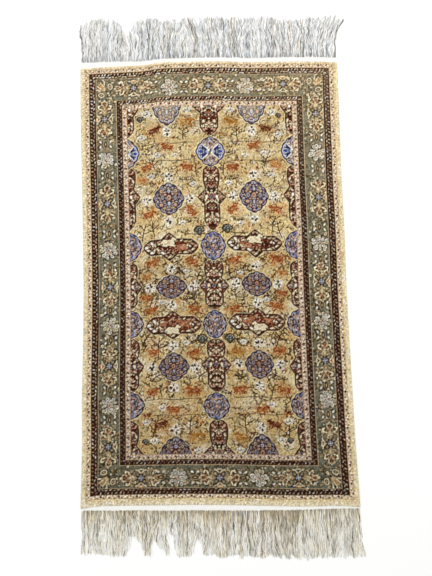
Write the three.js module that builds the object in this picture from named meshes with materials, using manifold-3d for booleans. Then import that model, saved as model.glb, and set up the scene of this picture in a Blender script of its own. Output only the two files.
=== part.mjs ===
// Hand-knotted silk rug lying flat: one knotted pile body with overcast sides, and at each
// end a narrow flat-woven strip whose warp ends run out over the floor as a loose fringe.
// Millimetres, +Z up. X runs across the rug, +Y towards its head end. The underside is at z = 0.
import * as THREE from "three";
import { mergeVertices } from "three/addons/utils/BufferGeometryUtils.js";
import Module from "manifold-3d";

const wasm = await Module();
wasm.setup();

// Driving dimensions
const PILE_WIDTH = 914; // three feet between the overcast sides
const PILE_LENGTH = 1530; // five feet from end to end of the pile
const PILE_HEIGHT = 6; // foundation and clipped pile together
const EDGE_ROUND = 1.8; // the pile edge and the overcast sides round over by this much
const STRIP_HEIGHT = 2.4; // the flat-woven end strips carry no pile
const STRIP_INSET = 3; // the strip stops this far inside the overcast sides
const SEAM_GAP = 0.3; // between the pile edge and the strip
const LOCKS_PER_END = 120; // bunches of warp ends in each fringe
const LOCK_ROOT = 3; // how far a lock's root is buried in its strip
const LOCK_HEIGHT = 2; // height of a lock's ridge above the floor at its root
const LOCK_TIP_HEIGHT = 1.1;
const LOCK_FILL = 0.72; // share of the room between its neighbours that a lock takes up
const LOCK_STEPS = 5; // sections along a lock
const LENGTH_SCATTER = 9; // how much one lock's length differs from the next
const CURL = 2.6; // how far the locks wander sideways together on their way out
const CURL_PITCH = 210; // distance across the rug over which that wandering repeats

// How far each side stands off its straight line, from the foot of the rug to its head.
const SIDES = [
  { along: -765, left: -8, right: 5 },
  { along: -560, left: -3, right: -1 },
  { along: -400, left: -3, right: -3 },
  { along: -220, left: 1, right: -5 },
  { along: -30, left: 3, right: -6 },
  { along: 160, left: 1, right: -4 },
  { along: 350, left: -2, right: -5 },
  { along: 560, left: -6, right: -3 },
  { along: 765, left: -7, right: -1 },
];

// How far each end of the pile stands off its straight line, and how wide its woven strip is.
const ENDS = [
  { across: -457, head: -4, headStrip: 25, foot: -8, footStrip: 7 },
  { across: -400, head: -3, headStrip: 24, foot: 0, footStrip: 16 },
  { across: -285, head: -1, headStrip: 21, foot: 1, footStrip: 18 },
  { across: -225, head: 1, headStrip: 18, foot: 1, footStrip: 19 },
  { across: -175, head: 8, headStrip: 17, foot: 0, footStrip: 20 },
  { across: -100, head: 8, headStrip: 17, foot: 0, footStrip: 20 },
  { across: 40, head: 5, headStrip: 18, foot: -3, footStrip: 20 },
  { across: 150, head: -2, headStrip: 18, foot: -7, footStrip: 17 },
  { across: 260, head: -4, headStrip: 19, foot: -11, footStrip: 13 },
  { across: 400, head: -10, headStrip: 20, foot: -12, footStrip: 10 },
  { across: 457, head: -15, headStrip: 21, foot: -17, footStrip: 6 },
];

// Each fringe from left to right: how far its locks reach past the strip, and how far their
// tips have drifted sideways. Tips that drift apart leave the open notches between bunches.
const HEAD_FRINGE = [
  { across: -457, reach: 150, drift: 9 },
  { across: -400, reach: 163, drift: 4 },
  { across: -345, reach: 160, drift: -9 },
  { across: -290, reach: 140, drift: -24 },
  { across: -282, reach: 128, drift: 24 },
  { across: -220, reach: 158, drift: 8 },
  { across: -150, reach: 142, drift: 3 },
  { across: -30, reach: 149, drift: -3 },
  { across: 95, reach: 152, drift: -8 },
  { across: 130, reach: 150, drift: 6 },
  { across: 200, reach: 152, drift: -4 },
  { across: 275, reach: 142, drift: -9 },
  { across: 330, reach: 138, drift: 5 },
  { across: 400, reach: 147, drift: 20 },
  { across: 457, reach: 148, drift: 34 },
];
const FOOT_FRINGE = [
  { across: -457, reach: 136, drift: -4 },
  { across: -400, reach: 142, drift: 2 },
  { across: -325, reach: 136, drift: -5 },
  { across: -298, reach: 108, drift: -12 },
  { across: -270, reach: 108, drift: 12 },
  { across: -232, reach: 134, drift: 0 },
  { across: -210, reach: 112, drift: -9 },
  { across: -200, reach: 120, drift: 8 },
  { across: -168, reach: 124, drift: -7 },
  { across: -158, reach: 118, drift: 8 },
  { across: -110, reach: 142, drift: 0 },
  { across: -82, reach: 112, drift: -9 },
  { across: -72, reach: 118, drift: 8 },
  { across: 20, reach: 146, drift: -2 },
  { across: 190, reach: 148, drift: 3 },
  { across: 260, reach: 155, drift: 2 },
  { across: 457, reach: 152, drift: 11 },
];

const SIDE_STATIONS = 22; // outline points along each side
const END_STATIONS = 36; // and across each end

// The value of a column at a place between its rows, on a smooth curve through them.
function smooth(rows, key, column, place) {
  const last = rows.length - 1;
  const next = rows.findIndex((row) => row[key] >= place);
  const high = next < 0 ? last : Math.max(next, 1);
  const low = high - 1;
  const slope = (n) => {
    const before = rows[Math.max(n - 1, 0)];
    const after = rows[Math.min(n + 1, last)];
    return (after[column] - before[column]) / (after[key] - before[key]);
  };
  const span = rows[high][key] - rows[low][key];
  const t = THREE.MathUtils.clamp((place - rows[low][key]) / span, 0, 1);
  const rise = t * t * (3 - 2 * t);
  const leave = t * (1 - t) * (1 - t);
  const arrive = t * t * (t - 1);
  return (
    rows[low][column] * (1 - rise) +
    rows[high][column] * rise +
    span * (slope(low) * leave + slope(high) * arrive)
  );
}

// A repeatable scatter between -1 and 1 for the nth lock.
function scatter(n) {
  const wild = Math.sin(n * 12.9898 + 4.1) * 43758.5453;
  return 2 * (wild - Math.floor(wild)) - 1;
}

// Where a point of the straight, square rug lies once its sides and ends are as uneven as they are.
function laid(x, y) {
  const rightShare = x / PILE_WIDTH + 0.5;
  const headShare = y / PILE_LENGTH + 0.5;
  const left = smooth(SIDES, "along", "left", y);
  const right = smooth(SIDES, "along", "right", y);
  const foot = smooth(ENDS, "across", "foot", x);
  const head = smooth(ENDS, "across", "head", x);
  return new THREE.Vector2(
    x + left + (right - left) * rightShare,
    y + foot + (head - foot) * headShare,
  );
}

function spread(from, to, count) {
  return Array.from({ length: count + 1 }, (_, i) => from + ((to - from) * i) / count);
}

// The pile body: its uneven outline raised to the height of the pile, with rounded edges.
function pileBody() {
  const halfWidth = PILE_WIDTH / 2;
  const halfLength = PILE_LENGTH / 2;
  const acrossFoot = spread(-halfWidth, halfWidth, END_STATIONS).map((x) => laid(x, -halfLength));
  const upRight = spread(-halfLength, halfLength, SIDE_STATIONS).map((y) => laid(halfWidth, y));
  const acrossHead = spread(halfWidth, -halfWidth, END_STATIONS).map((x) => laid(x, halfLength));
  const downLeft = spread(halfLength, -halfLength, SIDE_STATIONS).map((y) => laid(-halfWidth, y));
  const outline = [acrossFoot, upRight, acrossHead, downLeft].flatMap((run) => run.slice(0, -1));
  const body = new THREE.ExtrudeGeometry(new THREE.Shape(outline), {
    depth: PILE_HEIGHT - 2 * EDGE_ROUND,
    bevelThickness: EDGE_ROUND,
    bevelSize: EDGE_ROUND,
    bevelOffset: -EDGE_ROUND,
    bevelSegments: 2,
  });
  return body.translate(0, 0, EDGE_ROUND);
}

// One end of the rug. outward is 1 at the head and -1 at the foot.
function rugEnd(outward, stripColumn) {
  const pileEdge = (x) => laid(x, (outward * PILE_LENGTH) / 2);
  return {
    outward,
    innerEdge: (x) => pileEdge(x).add(new THREE.Vector2(0, outward * SEAM_GAP)),
    rootLine: (x) =>
      pileEdge(x).add(new THREE.Vector2(0, outward * smooth(ENDS, "across", stripColumn, x))),
  };
}

// The flat-woven strip between the pile edge and the fringe.
function wovenStrip(end) {
  const reach = PILE_WIDTH / 2 - STRIP_INSET;
  const inner = spread(-reach, reach, END_STATIONS).map(end.innerEdge);
  const outer = spread(reach, -reach, END_STATIONS).map(end.rootLine);
  return new THREE.ExtrudeGeometry(new THREE.Shape([...inner, ...outer]), {
    depth: STRIP_HEIGHT,
    bevelEnabled: false,
  });
}

// The middle lines of all the locks of one fringe. Each is a list of points on the floor, from
// the buried root to the tip, and neighbours share one drift, so no lock crosses another.
function lockLines(end, fringe) {
  const reach = PILE_WIDTH / 2 - STRIP_INSET;
  const pitch = (2 * reach) / LOCKS_PER_END;
  return Array.from({ length: LOCKS_PER_END }, (_, n) => {
    const across = -reach + pitch * (n + 0.5);
    const root = end.rootLine(across);
    const length = smooth(fringe, "across", "reach", across) + LENGTH_SCATTER * scatter(n);
    const drift = smooth(fringe, "across", "drift", across);
    return spread(0, 1, LOCK_STEPS).map((share) => {
      const bend = CURL * Math.sin((across / CURL_PITCH + share) * 2 * Math.PI) * share;
      return new THREE.Vector2(
        root.x + drift * share ** 1.5 + bend,
        root.y + end.outward * (length * share - LOCK_ROOT * (1 - share)),
      );
    });
  });
}

// Half the room that the nth lock has on one side of its middle, at one of its sections.
function halfRoom(lines, n, step, side) {
  const neighbour = lines[n + side] ?? lines[n - side];
  return Math.abs(neighbour[step].x - lines[n][step].x) / 2;
}

// One lock: a three-sided sliver that lies with its broad side on the floor and thins to its tip.
function lock(lines, n, outward) {
  const corners = lines[n].flatMap((middle, step) => {
    const share = step / LOCK_STEPS;
    const left = LOCK_FILL * halfRoom(lines, n, step, -1);
    const right = LOCK_FILL * halfRoom(lines, n, step, 1);
    const height = THREE.MathUtils.lerp(LOCK_HEIGHT, LOCK_TIP_HEIGHT, share);
    return [
      [middle.x - left, middle.y, 0],
      [middle.x + right, middle.y, 0],
      [middle.x, middle.y, height],
    ];
  });
  const faces = [[0, 1, 2]];
  for (let step = 0; step < LOCK_STEPS; step++) {
    for (let side = 0; side < 3; side++) {
      const here = step * 3 + side;
      const beside = step * 3 + ((side + 1) % 3);
      faces.push([here, here + 3, beside], [beside, here + 3, beside + 3]);
    }
  }
  const tip = LOCK_STEPS * 3;
  faces.push([tip, tip + 2, tip + 1]);
  // The faces above look outwards on a lock that runs towards +Y, so the other end's are turned round.
  const turned = outward > 0 ? faces : faces.map(([a, b, c]) => [a, c, b]);
  const geometry = new THREE.BufferGeometry();
  geometry.setAttribute("position", new THREE.Float32BufferAttribute(corners.flat(), 3));
  return geometry.setIndex(turned.flat());
}

// A closed geometry as a solid that can be joined to others.
function solidOf(geometry) {
  const bare = geometry.clone().deleteAttribute("normal").deleteAttribute("uv");
  const merged = mergeVertices(bare, 1e-4);
  return new wasm.Manifold(
    new wasm.Mesh({
      numProp: 3,
      vertProperties: merged.attributes.position.array,
      triVerts: new Uint32Array(merged.index.array),
    }),
  );
}

function geometryOf(solid) {
  const { vertProperties, triVerts } = solid.getMesh();
  const geometry = new THREE.BufferGeometry();
  geometry.setAttribute("position", new THREE.Float32BufferAttribute(vertProperties, 3));
  geometry.setIndex(new THREE.Uint32BufferAttribute(triVerts, 1));
  geometry.computeVertexNormals();
  return geometry;
}

// A fringe: the woven strip with the root of every lock joined into it.
function fringedStrip(end, fringe) {
  const lines = lockLines(end, fringe);
  const strip = solidOf(wovenStrip(end));
  const joined = lines.reduce((sum, _, n) => sum.add(solidOf(lock(lines, n, end.outward))), strip);
  return geometryOf(joined);
}

const silkPile = new THREE.MeshStandardMaterial({ color: 0xb3935c, roughness: 0.55, metalness: 0 });
const bareWarp = new THREE.MeshStandardMaterial({ color: 0xe4ddce, roughness: 0.7, metalness: 0 });

function piece(name, geometry, material) {
  const mesh = new THREE.Mesh(geometry, material);
  mesh.name = name;
  return mesh;
}

const head = rugEnd(1, "headStrip");
const foot = rugEnd(-1, "footStrip");
const rug = new THREE.Group();
rug.add(
  piece("pile_body", pileBody(), silkPile),
  piece("fringe_head", fringedStrip(head, HEAD_FRINGE), bareWarp),
  piece("fringe_foot", fringedStrip(foot, FOOT_FRINGE), bareWarp),
);

// The origin is on the floor, under the middle of everything the rug covers.
const middle = new THREE.Box3().setFromObject(rug).getCenter(new THREE.Vector3());
rug.position.set(-middle.x, -middle.y, 0);

export default rug;
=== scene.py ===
import math
import bpy
import numpy as np
from mathutils import Matrix, Vector
from types import SimpleNamespace


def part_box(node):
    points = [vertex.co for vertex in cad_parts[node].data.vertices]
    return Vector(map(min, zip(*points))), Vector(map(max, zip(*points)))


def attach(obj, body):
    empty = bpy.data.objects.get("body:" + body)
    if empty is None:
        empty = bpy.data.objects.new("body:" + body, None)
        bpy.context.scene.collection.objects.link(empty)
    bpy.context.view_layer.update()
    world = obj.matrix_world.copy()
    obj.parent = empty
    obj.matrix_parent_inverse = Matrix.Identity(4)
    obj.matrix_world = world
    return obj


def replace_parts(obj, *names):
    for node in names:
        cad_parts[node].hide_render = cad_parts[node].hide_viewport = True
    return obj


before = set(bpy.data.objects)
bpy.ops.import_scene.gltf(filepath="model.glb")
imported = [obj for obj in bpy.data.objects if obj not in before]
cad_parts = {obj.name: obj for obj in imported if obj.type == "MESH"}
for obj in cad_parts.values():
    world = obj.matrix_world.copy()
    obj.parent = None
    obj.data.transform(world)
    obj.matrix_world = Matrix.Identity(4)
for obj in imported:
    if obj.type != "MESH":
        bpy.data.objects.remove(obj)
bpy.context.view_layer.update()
print("frame loaded", sorted(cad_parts))


def linearOf(hexCode):  # sRGB hex to the linear values that shaders take
    srgb = np.array([int(hexCode[i:i + 2], 16) for i in (1, 3, 5)]) / 255
    return np.where(srgb <= 0.04045, srgb / 12.92, ((srgb + 0.055) / 1.055) ** 2.4)


def addNode(tree, kind, settings=None, links=None):
    node = tree.nodes.new(kind)
    for name, value in (settings or {}).items():
        if name in node.inputs:
            node.inputs[name].default_value = value
        else:
            setattr(node, name, value)
    for name, source in (links or {}).items():
        tree.links.new(source, node.inputs[name])
    return node


def deselectAll():
    if bpy.context.object and bpy.context.object.mode != "OBJECT":
        bpy.ops.object.mode_set(mode="OBJECT")
    bpy.ops.object.select_all(action="DESELECT")


perMetre = 1000  # millimetres

# The rug as it lies: millimetres, x across it and y towards its head end
rugSize = {
    "width": 914,
    "length": 1530,
    "pileTop": 5.9,
    "pileFoot": 3.3,  # where the tufts leave the foundation
    "edgeRound": 1.8,
}
sideLine = {  # how far each side stands off its straight line
    "along": [-765, -560, -400, -220, -30, 160, 350, 560, 765],
    "left": [-8, -3, -3, 1, 3, 1, -2, -6, -7],
    "right": [5, -1, -3, -5, -6, -4, -5, -3, -1],
}
endLine = {  # the same for each end, and the width of its woven strip
    "across": [-457, -400, -285, -225, -175, -100, 40, 150, 260, 400, 457],
    "head": [-4, -3, -1, 1, 8, 8, 5, -2, -4, -10, -15],
    "headStrip": [25, 24, 21, 18, 17, 17, 18, 18, 19, 20, 21],
    "foot": [-8, 0, 1, 1, 0, 0, -3, -7, -11, -12, -17],
    "footStrip": [7, 16, 18, 19, 20, 20, 20, 17, 13, 10, 6],
}


def curveThrough(places, values, at):  # smooth curve through a table's rows
    places = np.array(places, float)
    values = np.array(values, float)
    at = np.clip(np.asarray(at, float), places[0], places[-1])
    before = np.maximum(np.arange(len(places)) - 1, 0)
    after = np.minimum(np.arange(len(places)) + 1, len(places) - 1)
    slope = (values[after] - values[before]) / (places[after] - places[before])
    low = np.clip(np.searchsorted(places, at, side="left") - 1, 0, len(places) - 2)
    span = places[low + 1] - places[low]
    t = (at - places[low]) / span
    rise = t * t * (3 - 2 * t)
    leave = t * (1 - t) ** 2
    arrive = t * t * (t - 1)
    bend = span * (slope[low] * leave + slope[low + 1] * arrive)
    return values[low] * (1 - rise) + values[low + 1] * rise + bend


def laid(x, y):  # where a point of the straight rug lies on the uneven one
    left = curveThrough(sideLine["along"], sideLine["left"], y)
    right = curveThrough(sideLine["along"], sideLine["right"], y)
    foot = curveThrough(endLine["across"], endLine["foot"], x)
    head = curveThrough(endLine["across"], endLine["head"], x)
    rightShare = x / rugSize["width"] + 0.5
    headShare = y / rugSize["length"] + 0.5
    return x + left + (right - left) * rightShare, y + foot + (head - foot) * headShare


halfWidth = rugSize["width"] / 2
halfLength = rugSize["length"] / 2
edgeRun = np.linspace(-1, 1, 400)
level = np.ones(len(edgeRun))
rim = [
    laid(edgeRun * halfWidth, -halfLength * level),
    laid(edgeRun * halfWidth, halfLength * level),
    laid(-halfWidth * level, edgeRun * halfLength),
    laid(halfWidth * level, edgeRun * halfLength),
]
rimX = np.concatenate([run[0] for run in rim])
rimY = np.concatenate([run[1] for run in rim])
bodyLow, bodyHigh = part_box("pile_body")
halfInMm = perMetre / 2  # half of a sum of metres, in millimetres
shiftX = (bodyLow[0] + bodyHigh[0]) * halfInMm - (rimX.min() + rimX.max()) / 2  # to the part's own origin
shiftY = (bodyLow[1] + bodyHigh[1]) * halfInMm - (rimY.min() + rimY.max()) / 2
print("rug lies", round(shiftX, 2), round(shiftY, 2), "mm off the part's origin")


# The knot chart: every dye, band and motif in the straight rug's millimetres
dyes = {
    "straw": "#D6BF8B",
    "wheat": "#CCB480",
    "cream": "#E4D6B2",
    "ivory": "#F0E8D8",
    "sand": "#C2A884",
    "blush": "#BC9F84",
    "buff": "#B99F7C",
    "rose": "#C79C82",
    "peach": "#D2A478",
    "apricot": "#C48C4E",
    "rust": "#9E5C30",
    "brick": "#86442E",
    "terracotta": "#A2684A",
    "amber": "#B07E36",
    "goldLeaf": "#BD9E66",
    "tan": "#AC946C",
    "chestnut": "#643420",
    "brown": "#432318",
    "umber": "#28140C",
    "soot": "#28110A",
    "walnut": "#2A1308",
    "navy": "#2C2630",
    "violet": "#4A4660",
    "lavender": "#958E93",
    "pearl": "#C2BFCA",
    "mist": "#C0CCC2",
    "royal": "#405892",
    "slate": "#5E646F",
    "teal": "#56686A",
    "moss": "#382D17",
    "olive": "#5E5430",
    "sage": "#77735F",
    "darkSage": "#4C4634",
}
dye = {name: linearOf(code) for name, code in dyes.items()}
chartSet = {
    "pitch": 1.05,
    "softEdge": 1.7,
    "margin": 3,  # millimetres beyond a motif's edge that its soft edge may reach
    "crisp": 0.95,
    "crispReach": 4,  # knots
    "eights": 8,  # steps come in eights, so that four pile strips can share out every second one
    "seed": 4127,
}


def chartLine(length):
    steps = int(length / chartSet["pitch"]) // chartSet["eights"] * chartSet["eights"]
    return np.linspace(-length / 2, length / 2, steps + 1)


chartX = chartLine(rugSize["width"])
chartY = chartLine(rugSize["length"])
chance = np.random.default_rng(chartSet["seed"])


def near(x, y, reach):  # the knots round a place, and how far they are from it
    cols = slice(*np.searchsorted(chartX, (x - reach, x + reach)))
    rows = slice(*np.searchsorted(chartY, (y - reach, y + reach)))
    return (rows, cols), chartX[None, cols] - x, chartY[rows, None] - y


def tie(cloth, spot, depth, colour, share=1.0):  # ties one dye wherever depth is below nought
    cover = share * np.clip(0.5 - depth / chartSet["softEdge"], 0, 1)
    cloth[spot] += cover[..., None] * (dye[colour] - cloth[spot])


def tieOval(cloth, x, y, long, short, colour, turn=0, share=1.0):
    spot, dx, dy = near(x, y, max(long, short) + chartSet["margin"])
    c = math.cos(turn)
    s = math.sin(turn)
    ring = np.hypot((dx * c + dy * s) / long, (dy * c - dx * s) / short)
    tie(cloth, spot, (ring - 1) * min(long, short), colour, share)


def tieNest(cloth, x, y, turn, ovals):  # ovals one inside the other: long, short, dye, share
    for long, short, colour, share in ovals:
        tieOval(cloth, x, y, long, short, colour, turn, share)


def tieStroke(cloth, x0, y0, x1, y1, girth, colour, share=1.0):
    reach = math.hypot(x1 - x0, y1 - y0)
    spot, dx, dy = near((x0 + x1) / 2, (y0 + y1) / 2, reach / 2 + girth + chartSet["margin"])
    ux = (x1 - x0) / max(reach, 0.01)
    uy = (y1 - y0) / max(reach, 0.01)
    along = np.clip(dx * ux + dy * uy, -reach / 2, reach / 2)
    tie(cloth, spot, np.hypot(dx - along * ux, dy - along * uy) - girth, colour, share)


def glow(cloth, x, y, long, short, colour, share):  # soft patch of another dye lot
    spot, dx, dy = near(x, y, max(long, short) * 1.2)
    cover = share * np.clip(1.15 - np.hypot(dx / long, dy / short), 0, 1)
    cloth[spot] += cover[..., None] * (dye[colour] - cloth[spot])


def onMotif(place, a, b):  # a point of a motif that is set down at (x, y, turn)
    x, y, turn = place
    return x + a * math.cos(turn) - b * math.sin(turn), y + a * math.sin(turn) + b * math.cos(turn)


def tieLine(cloth, place, points, girth, colour, share=1.0):
    run = [onMotif(place, a, b) for a, b in points]
    for (x0, y0), (x1, y1) in zip(run, run[1:]):
        tieStroke(cloth, x0, y0, x1, y1, girth, colour, share)


def tieDots(cloth, place, points, size, colour, share=1.0):
    for a, b in points:
        x, y = onMotif(place, a, b)
        tieOval(cloth, x, y, size, size, colour, 0, share)


def inlay(cloth, spot, depth, draw, *details):  # keeps what draw ties inside an outline
    before = cloth[spot].copy()
    draw(cloth, *details)
    inside = np.clip(0.5 - depth / chartSet["softEdge"], 0, 1)[..., None]
    cloth[spot] = before + inside * (cloth[spot] - before)


def arabesque(cloth, x, y, halfAcross, halfUp, look):  # leaves and petals in one, two or four folds
    pick = np.random.default_rng(look["seed"])
    sidesA = (-1, 1) if look["folds"] > 1 else (1,)
    sidesB = (-1, 1) if look["folds"] == 4 else (1,)
    for n in range(int(halfAcross * halfUp * 4 / look["folds"] / look["room"])):
        a = pick.uniform(0 if look["folds"] > 1 else -1, 1) * halfAcross
        b = pick.uniform(0 if look["folds"] == 4 else -1, 1) * halfUp
        turn = pick.uniform(0, math.pi)
        size = pick.uniform(*look["sizes"])
        petal = look["petals"][n % len(look["petals"])]
        for sideA in sidesA:
            for sideB in sidesB:
                short = max(size * look["slim"], 1.2)
                tieOval(cloth, x + sideA * a, y + sideB * b, size, short, petal, turn * sideA * sideB, 0.94)


def mottle(grain):  # soft uneven patches, so many millimetres across
    gridX = np.arange(chartX[0], chartX[-1] + grain, grain)
    gridY = np.arange(chartY[0], chartY[-1] + grain, grain)
    coarse = chance.normal(0, 1, (len(gridY), len(gridX)))
    rows = np.array([np.interp(chartX, gridX, row) for row in coarse])
    return np.array([np.interp(chartY, gridY, col) for col in rows.T]).T[..., None]


# Beasts: each part runs from one point to another and has a girth, in lengths of the beast
deerParts = [
    (-0.26, 0.02, 0.18, 0.04, 0.20),  # barrel
    (0.20, 0.08, 0.36, 0.20, 0.12),  # neck
    (0.36, 0.22, 0.48, 0.17, 0.08),  # head
    (0.35, 0.28, 0.24, 0.35, 0.03),  # horn
    (0.20, 0.00, 0.34, -0.24, 0.045),  # foreleg
    (0.10, -0.02, 0.16, -0.28, 0.045),  # second foreleg
    (-0.30, 0.00, -0.42, -0.24, 0.045),  # hind leg
    (-0.20, -0.02, -0.24, -0.28, 0.045),  # second hind leg
    (-0.40, 0.08, -0.50, 0.18, 0.04),  # tail
]
ramParts = [
    (-0.22, 0.00, 0.20, -0.02, 0.19),  # barrel
    (-0.30, 0.02, -0.26, 0.06, 0.15),  # rump
    (0.20, 0.08, 0.30, 0.26, 0.09),  # neck
    (0.30, 0.28, 0.44, 0.20, 0.07),  # head
    (0.14, -0.18, 0.40, -0.22, 0.05),  # folded foreleg
    (-0.38, -0.18, -0.14, -0.22, 0.05),  # folded hind leg
    (-0.42, 0.06, -0.50, -0.02, 0.05),  # tail
]
beastSet = {"outline": 1.8, "leastGirth": 1.1, "stitches": 22, "insideOutline": 0.62}


def beast(cloth, parts, x, y, length, facing, turn, tints, outline=""):  # its edge is ragged with stitches
    pick = np.random.default_rng(int(abs(x) * 7 + abs(y) * 3))
    place = (x, y, turn)
    for extra, tint in ((beastSet["outline"], outline), (0, tints[0])):
        for fromA, fromB, toA, toB, girth in parts if tint else []:
            x0, y0 = onMotif(place, facing * fromA * length, fromB * length)
            x1, y1 = onMotif(place, facing * toA * length, toB * length)
            girth = max(girth * length, beastSet["leastGirth"])
            tieStroke(cloth, x0, y0, x1, y1, girth + extra, tint, 0.92)
    spread = beastSet["insideOutline"] if outline else 1
    for n in range(beastSet["stitches"]):
        a = pick.uniform(-0.42, 0.42) * spread
        b = pick.uniform(-0.20, 0.22) * spread
        reach = pick.uniform(0.05, 0.12)
        lean = reach * pick.uniform(-1.2, 1.2)
        x0, y0 = onMotif(place, facing * (a - reach) * length, (b - lean) * length)
        x1, y1 = onMotif(place, facing * (a + reach) * length, (b + lean) * length)
        tieStroke(cloth, x0, y0, x1, y1, pick.uniform(0.7, 1.3), tints[n % len(tints)], 0.75)


def blossom(cloth, x, y, turn, size):  # loose ivory flower with curled veins and a few dark seeds
    pick = np.random.default_rng(int(abs(x) * 5 + abs(y) * 11))
    place = (x, y, turn)
    glow(cloth, x, y, 21 * size, 20 * size, "ivory", 0.62)
    for k in range(6):
        angle = k * math.pi / 3 + pick.uniform(-0.4, 0.4)
        away = pick.uniform(7, 14) * size
        px, py = onMotif(place, away * math.cos(angle), away * math.sin(angle))
        long = pick.uniform(5.5, 9) * size
        tieOval(cloth, px, py, long, long * 0.7, "ivory", turn + pick.uniform(0, 3), 0.8)
        vein = (px, py, turn + angle + pick.uniform(-1, 1))
        tieLine(cloth, vein, [(-4.5, -2), (0, 2.4), (4.5, 1)], 0.9, ("olive", "brown")[k % 2], 0.8)
    for k, seed in enumerate(("moss", "umber", "moss", "brown")):
        angle = k * 1.6 + pick.uniform(-0.5, 0.5)
        away = pick.uniform(5, 12) * size
        px, py = onMotif(place, away * math.cos(angle), away * math.sin(angle))
        long = pick.uniform(3.2, 6.4) * size
        tieOval(cloth, px, py, long, long * pick.uniform(0.5, 0.8), seed, turn + angle, 0.92)


def lobedDepth(dx, dy, halfAcross, halfUp, lobes, scallop, jut, sharp):  # jut draws out its sides and ends
    across = dx * (1 + jut[0]) / halfAcross
    up = dy * (1 + jut[1]) / halfUp
    angle = np.arctan2(up, across)
    reach = 1 - scallop + scallop * np.abs(np.cos(lobes / 2 * angle)) ** 0.7
    reach = reach + jut[0] * np.abs(np.cos(angle)) ** sharp + jut[1] * np.abs(np.sin(angle)) ** sharp
    return (np.hypot(across, up) - reach) * min(halfAcross / (1 + jut[0]), halfUp / (1 + jut[1]))


def brokenRim(cloth, spot, dx, dy, depth, inset, colour, share):  # short dashes inside an outline
    dash = 0.25 + np.sin(9 * np.arctan2(dy, dx) + 0.6)
    tie(cloth, spot, np.maximum(np.abs(depth + inset) - 1.3, -4 * dash), colour, share)


octofoilLook = {
    "seed": 31, "folds": 2, "room": 13, "slim": 0.5, "sizes": (2.2, 5.0),
    "petals": ("rose", "navy", "lavender", "umber", "slate", "pearl", "navy", "violet", "sand", "umber"),
}
octofoilBeads = [  # columns: across, up, half width, half height, dye, rim, heart
    (0, 25, 6, 5.4, "pearl", "umber", "slate"),
    (0, 4, 6, 8.6, "rose", "brown", "umber"),
    (0, -17, 4.8, 6.4, "pearl", "umber", "lavender"),
    (0, -38, 8, 3.2, "lavender", "violet", "rose"),
    (22, 4, 6.6, 8.6, "lavender", "navy", "slate"),
    (24, 27, 5.6, 5.6, "sand", "umber", "umber"),
    (13, 15, 5.4, 2.8, "rose", "brown", "sand"),
    (13, -7, 5, 2.8, "rose", "navy", "umber"),
    (24, -19, 6.4, 5.4, "rose", "umber", "lavender"),
    (38, -8, 4.2, 3.6, "pearl", "navy", "violet"),
    (38, 15, 3.6, 5.4, "lavender", "navy", "violet"),
    (13, -33, 5.4, 3.6, "sand", "umber", "brown"),
    (13, 38, 4.6, 3.6, "lavender", "navy", "rose"),
]


def octofoil(cloth, x, y, halfAcross, halfUp):  # dusky lobed medallion: pale beads in a dark lattice
    pick = np.random.default_rng(int(abs(x) * 3 + abs(y) * 7))
    spot, dx, dy = near(x, y, max(halfAcross, halfUp) + 8)
    depth = lobedDepth(dx, dy, halfAcross, halfUp, 12, 0.08, (0.13, 0.11), 9)
    tie(cloth, spot, depth - 2.6, "cream", 0.45)
    tie(cloth, spot, depth, "navy", 0.95)
    tie(cloth, spot, depth + 3.4, "violet", 0.8 if y > 100 else 0.45)  # greyer towards the foot
    brokenRim(cloth, spot, dx, dy, depth, 5.6, "pearl", 0.6)
    tie(cloth, spot, depth + 7.4, "slate", 0.4)
    inlay(cloth, spot, depth + 7.4, arabesque, x, y, halfAcross, halfUp, octofoilLook)
    u = halfAcross / 55
    v = halfUp / 57
    for a, b, wide, tall, petal, edge, heart in octofoilBeads:
        for side in (-1, 1) if a else (1,):
            px = x + side * a * u + pick.uniform(-1.8, 1.8)
            py = y + b * v + pick.uniform(-1.8, 1.8)
            wide = wide * pick.uniform(0.8, 1.12)
            tieOval(cloth, px, py, (wide + 2.6) * u, (tall + 2.4) * v, edge, 0, 0.95)
            tieOval(cloth, px, py, wide * u, tall * v, petal, 0, 0.94)
            tieOval(cloth, px - side * 0.8, py - 0.6, wide * 0.45 * u, tall * 0.4 * v, heart, 0, 0.85)


mosaicLook = {
    "seed": 57, "folds": 1, "room": 6, "slim": 0.42, "sizes": (1.8, 4.6),
    "petals": ("navy", "lavender", "slate", "rose", "umber", "pearl", "violet",
               "sand", "rose", "umber", "lavender", "slate", "brown"),
}
crownLook = {
    "seed": 71, "folds": 1, "room": 8, "slim": 0.42, "sizes": (1.8, 4.4),
    "petals": ("sand", "umber", "rose", "cream", "brown", "blush", "lavender", "sand", "moss", "pearl"),
}
wingLook = {
    "seed": 12, "folds": 4, "room": 16, "slim": 0.32, "sizes": (2.8, 6.4),
    "petals": ("royal", "pearl", "navy", "royal", "slate", "mist", "royal", "violet"),
}
waistFlowers = [  # columns: across, up, half width, half height, dye
    (0, 0, 5, 4, "slate"), (3, 6, 5, 2, "darkSage"), (-4, -6, 5, 2, "navy"), (5, -2, 2.4, 2, "ivory"),
    (-5, 3, 2.6, 2, "ivory"),
]


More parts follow.
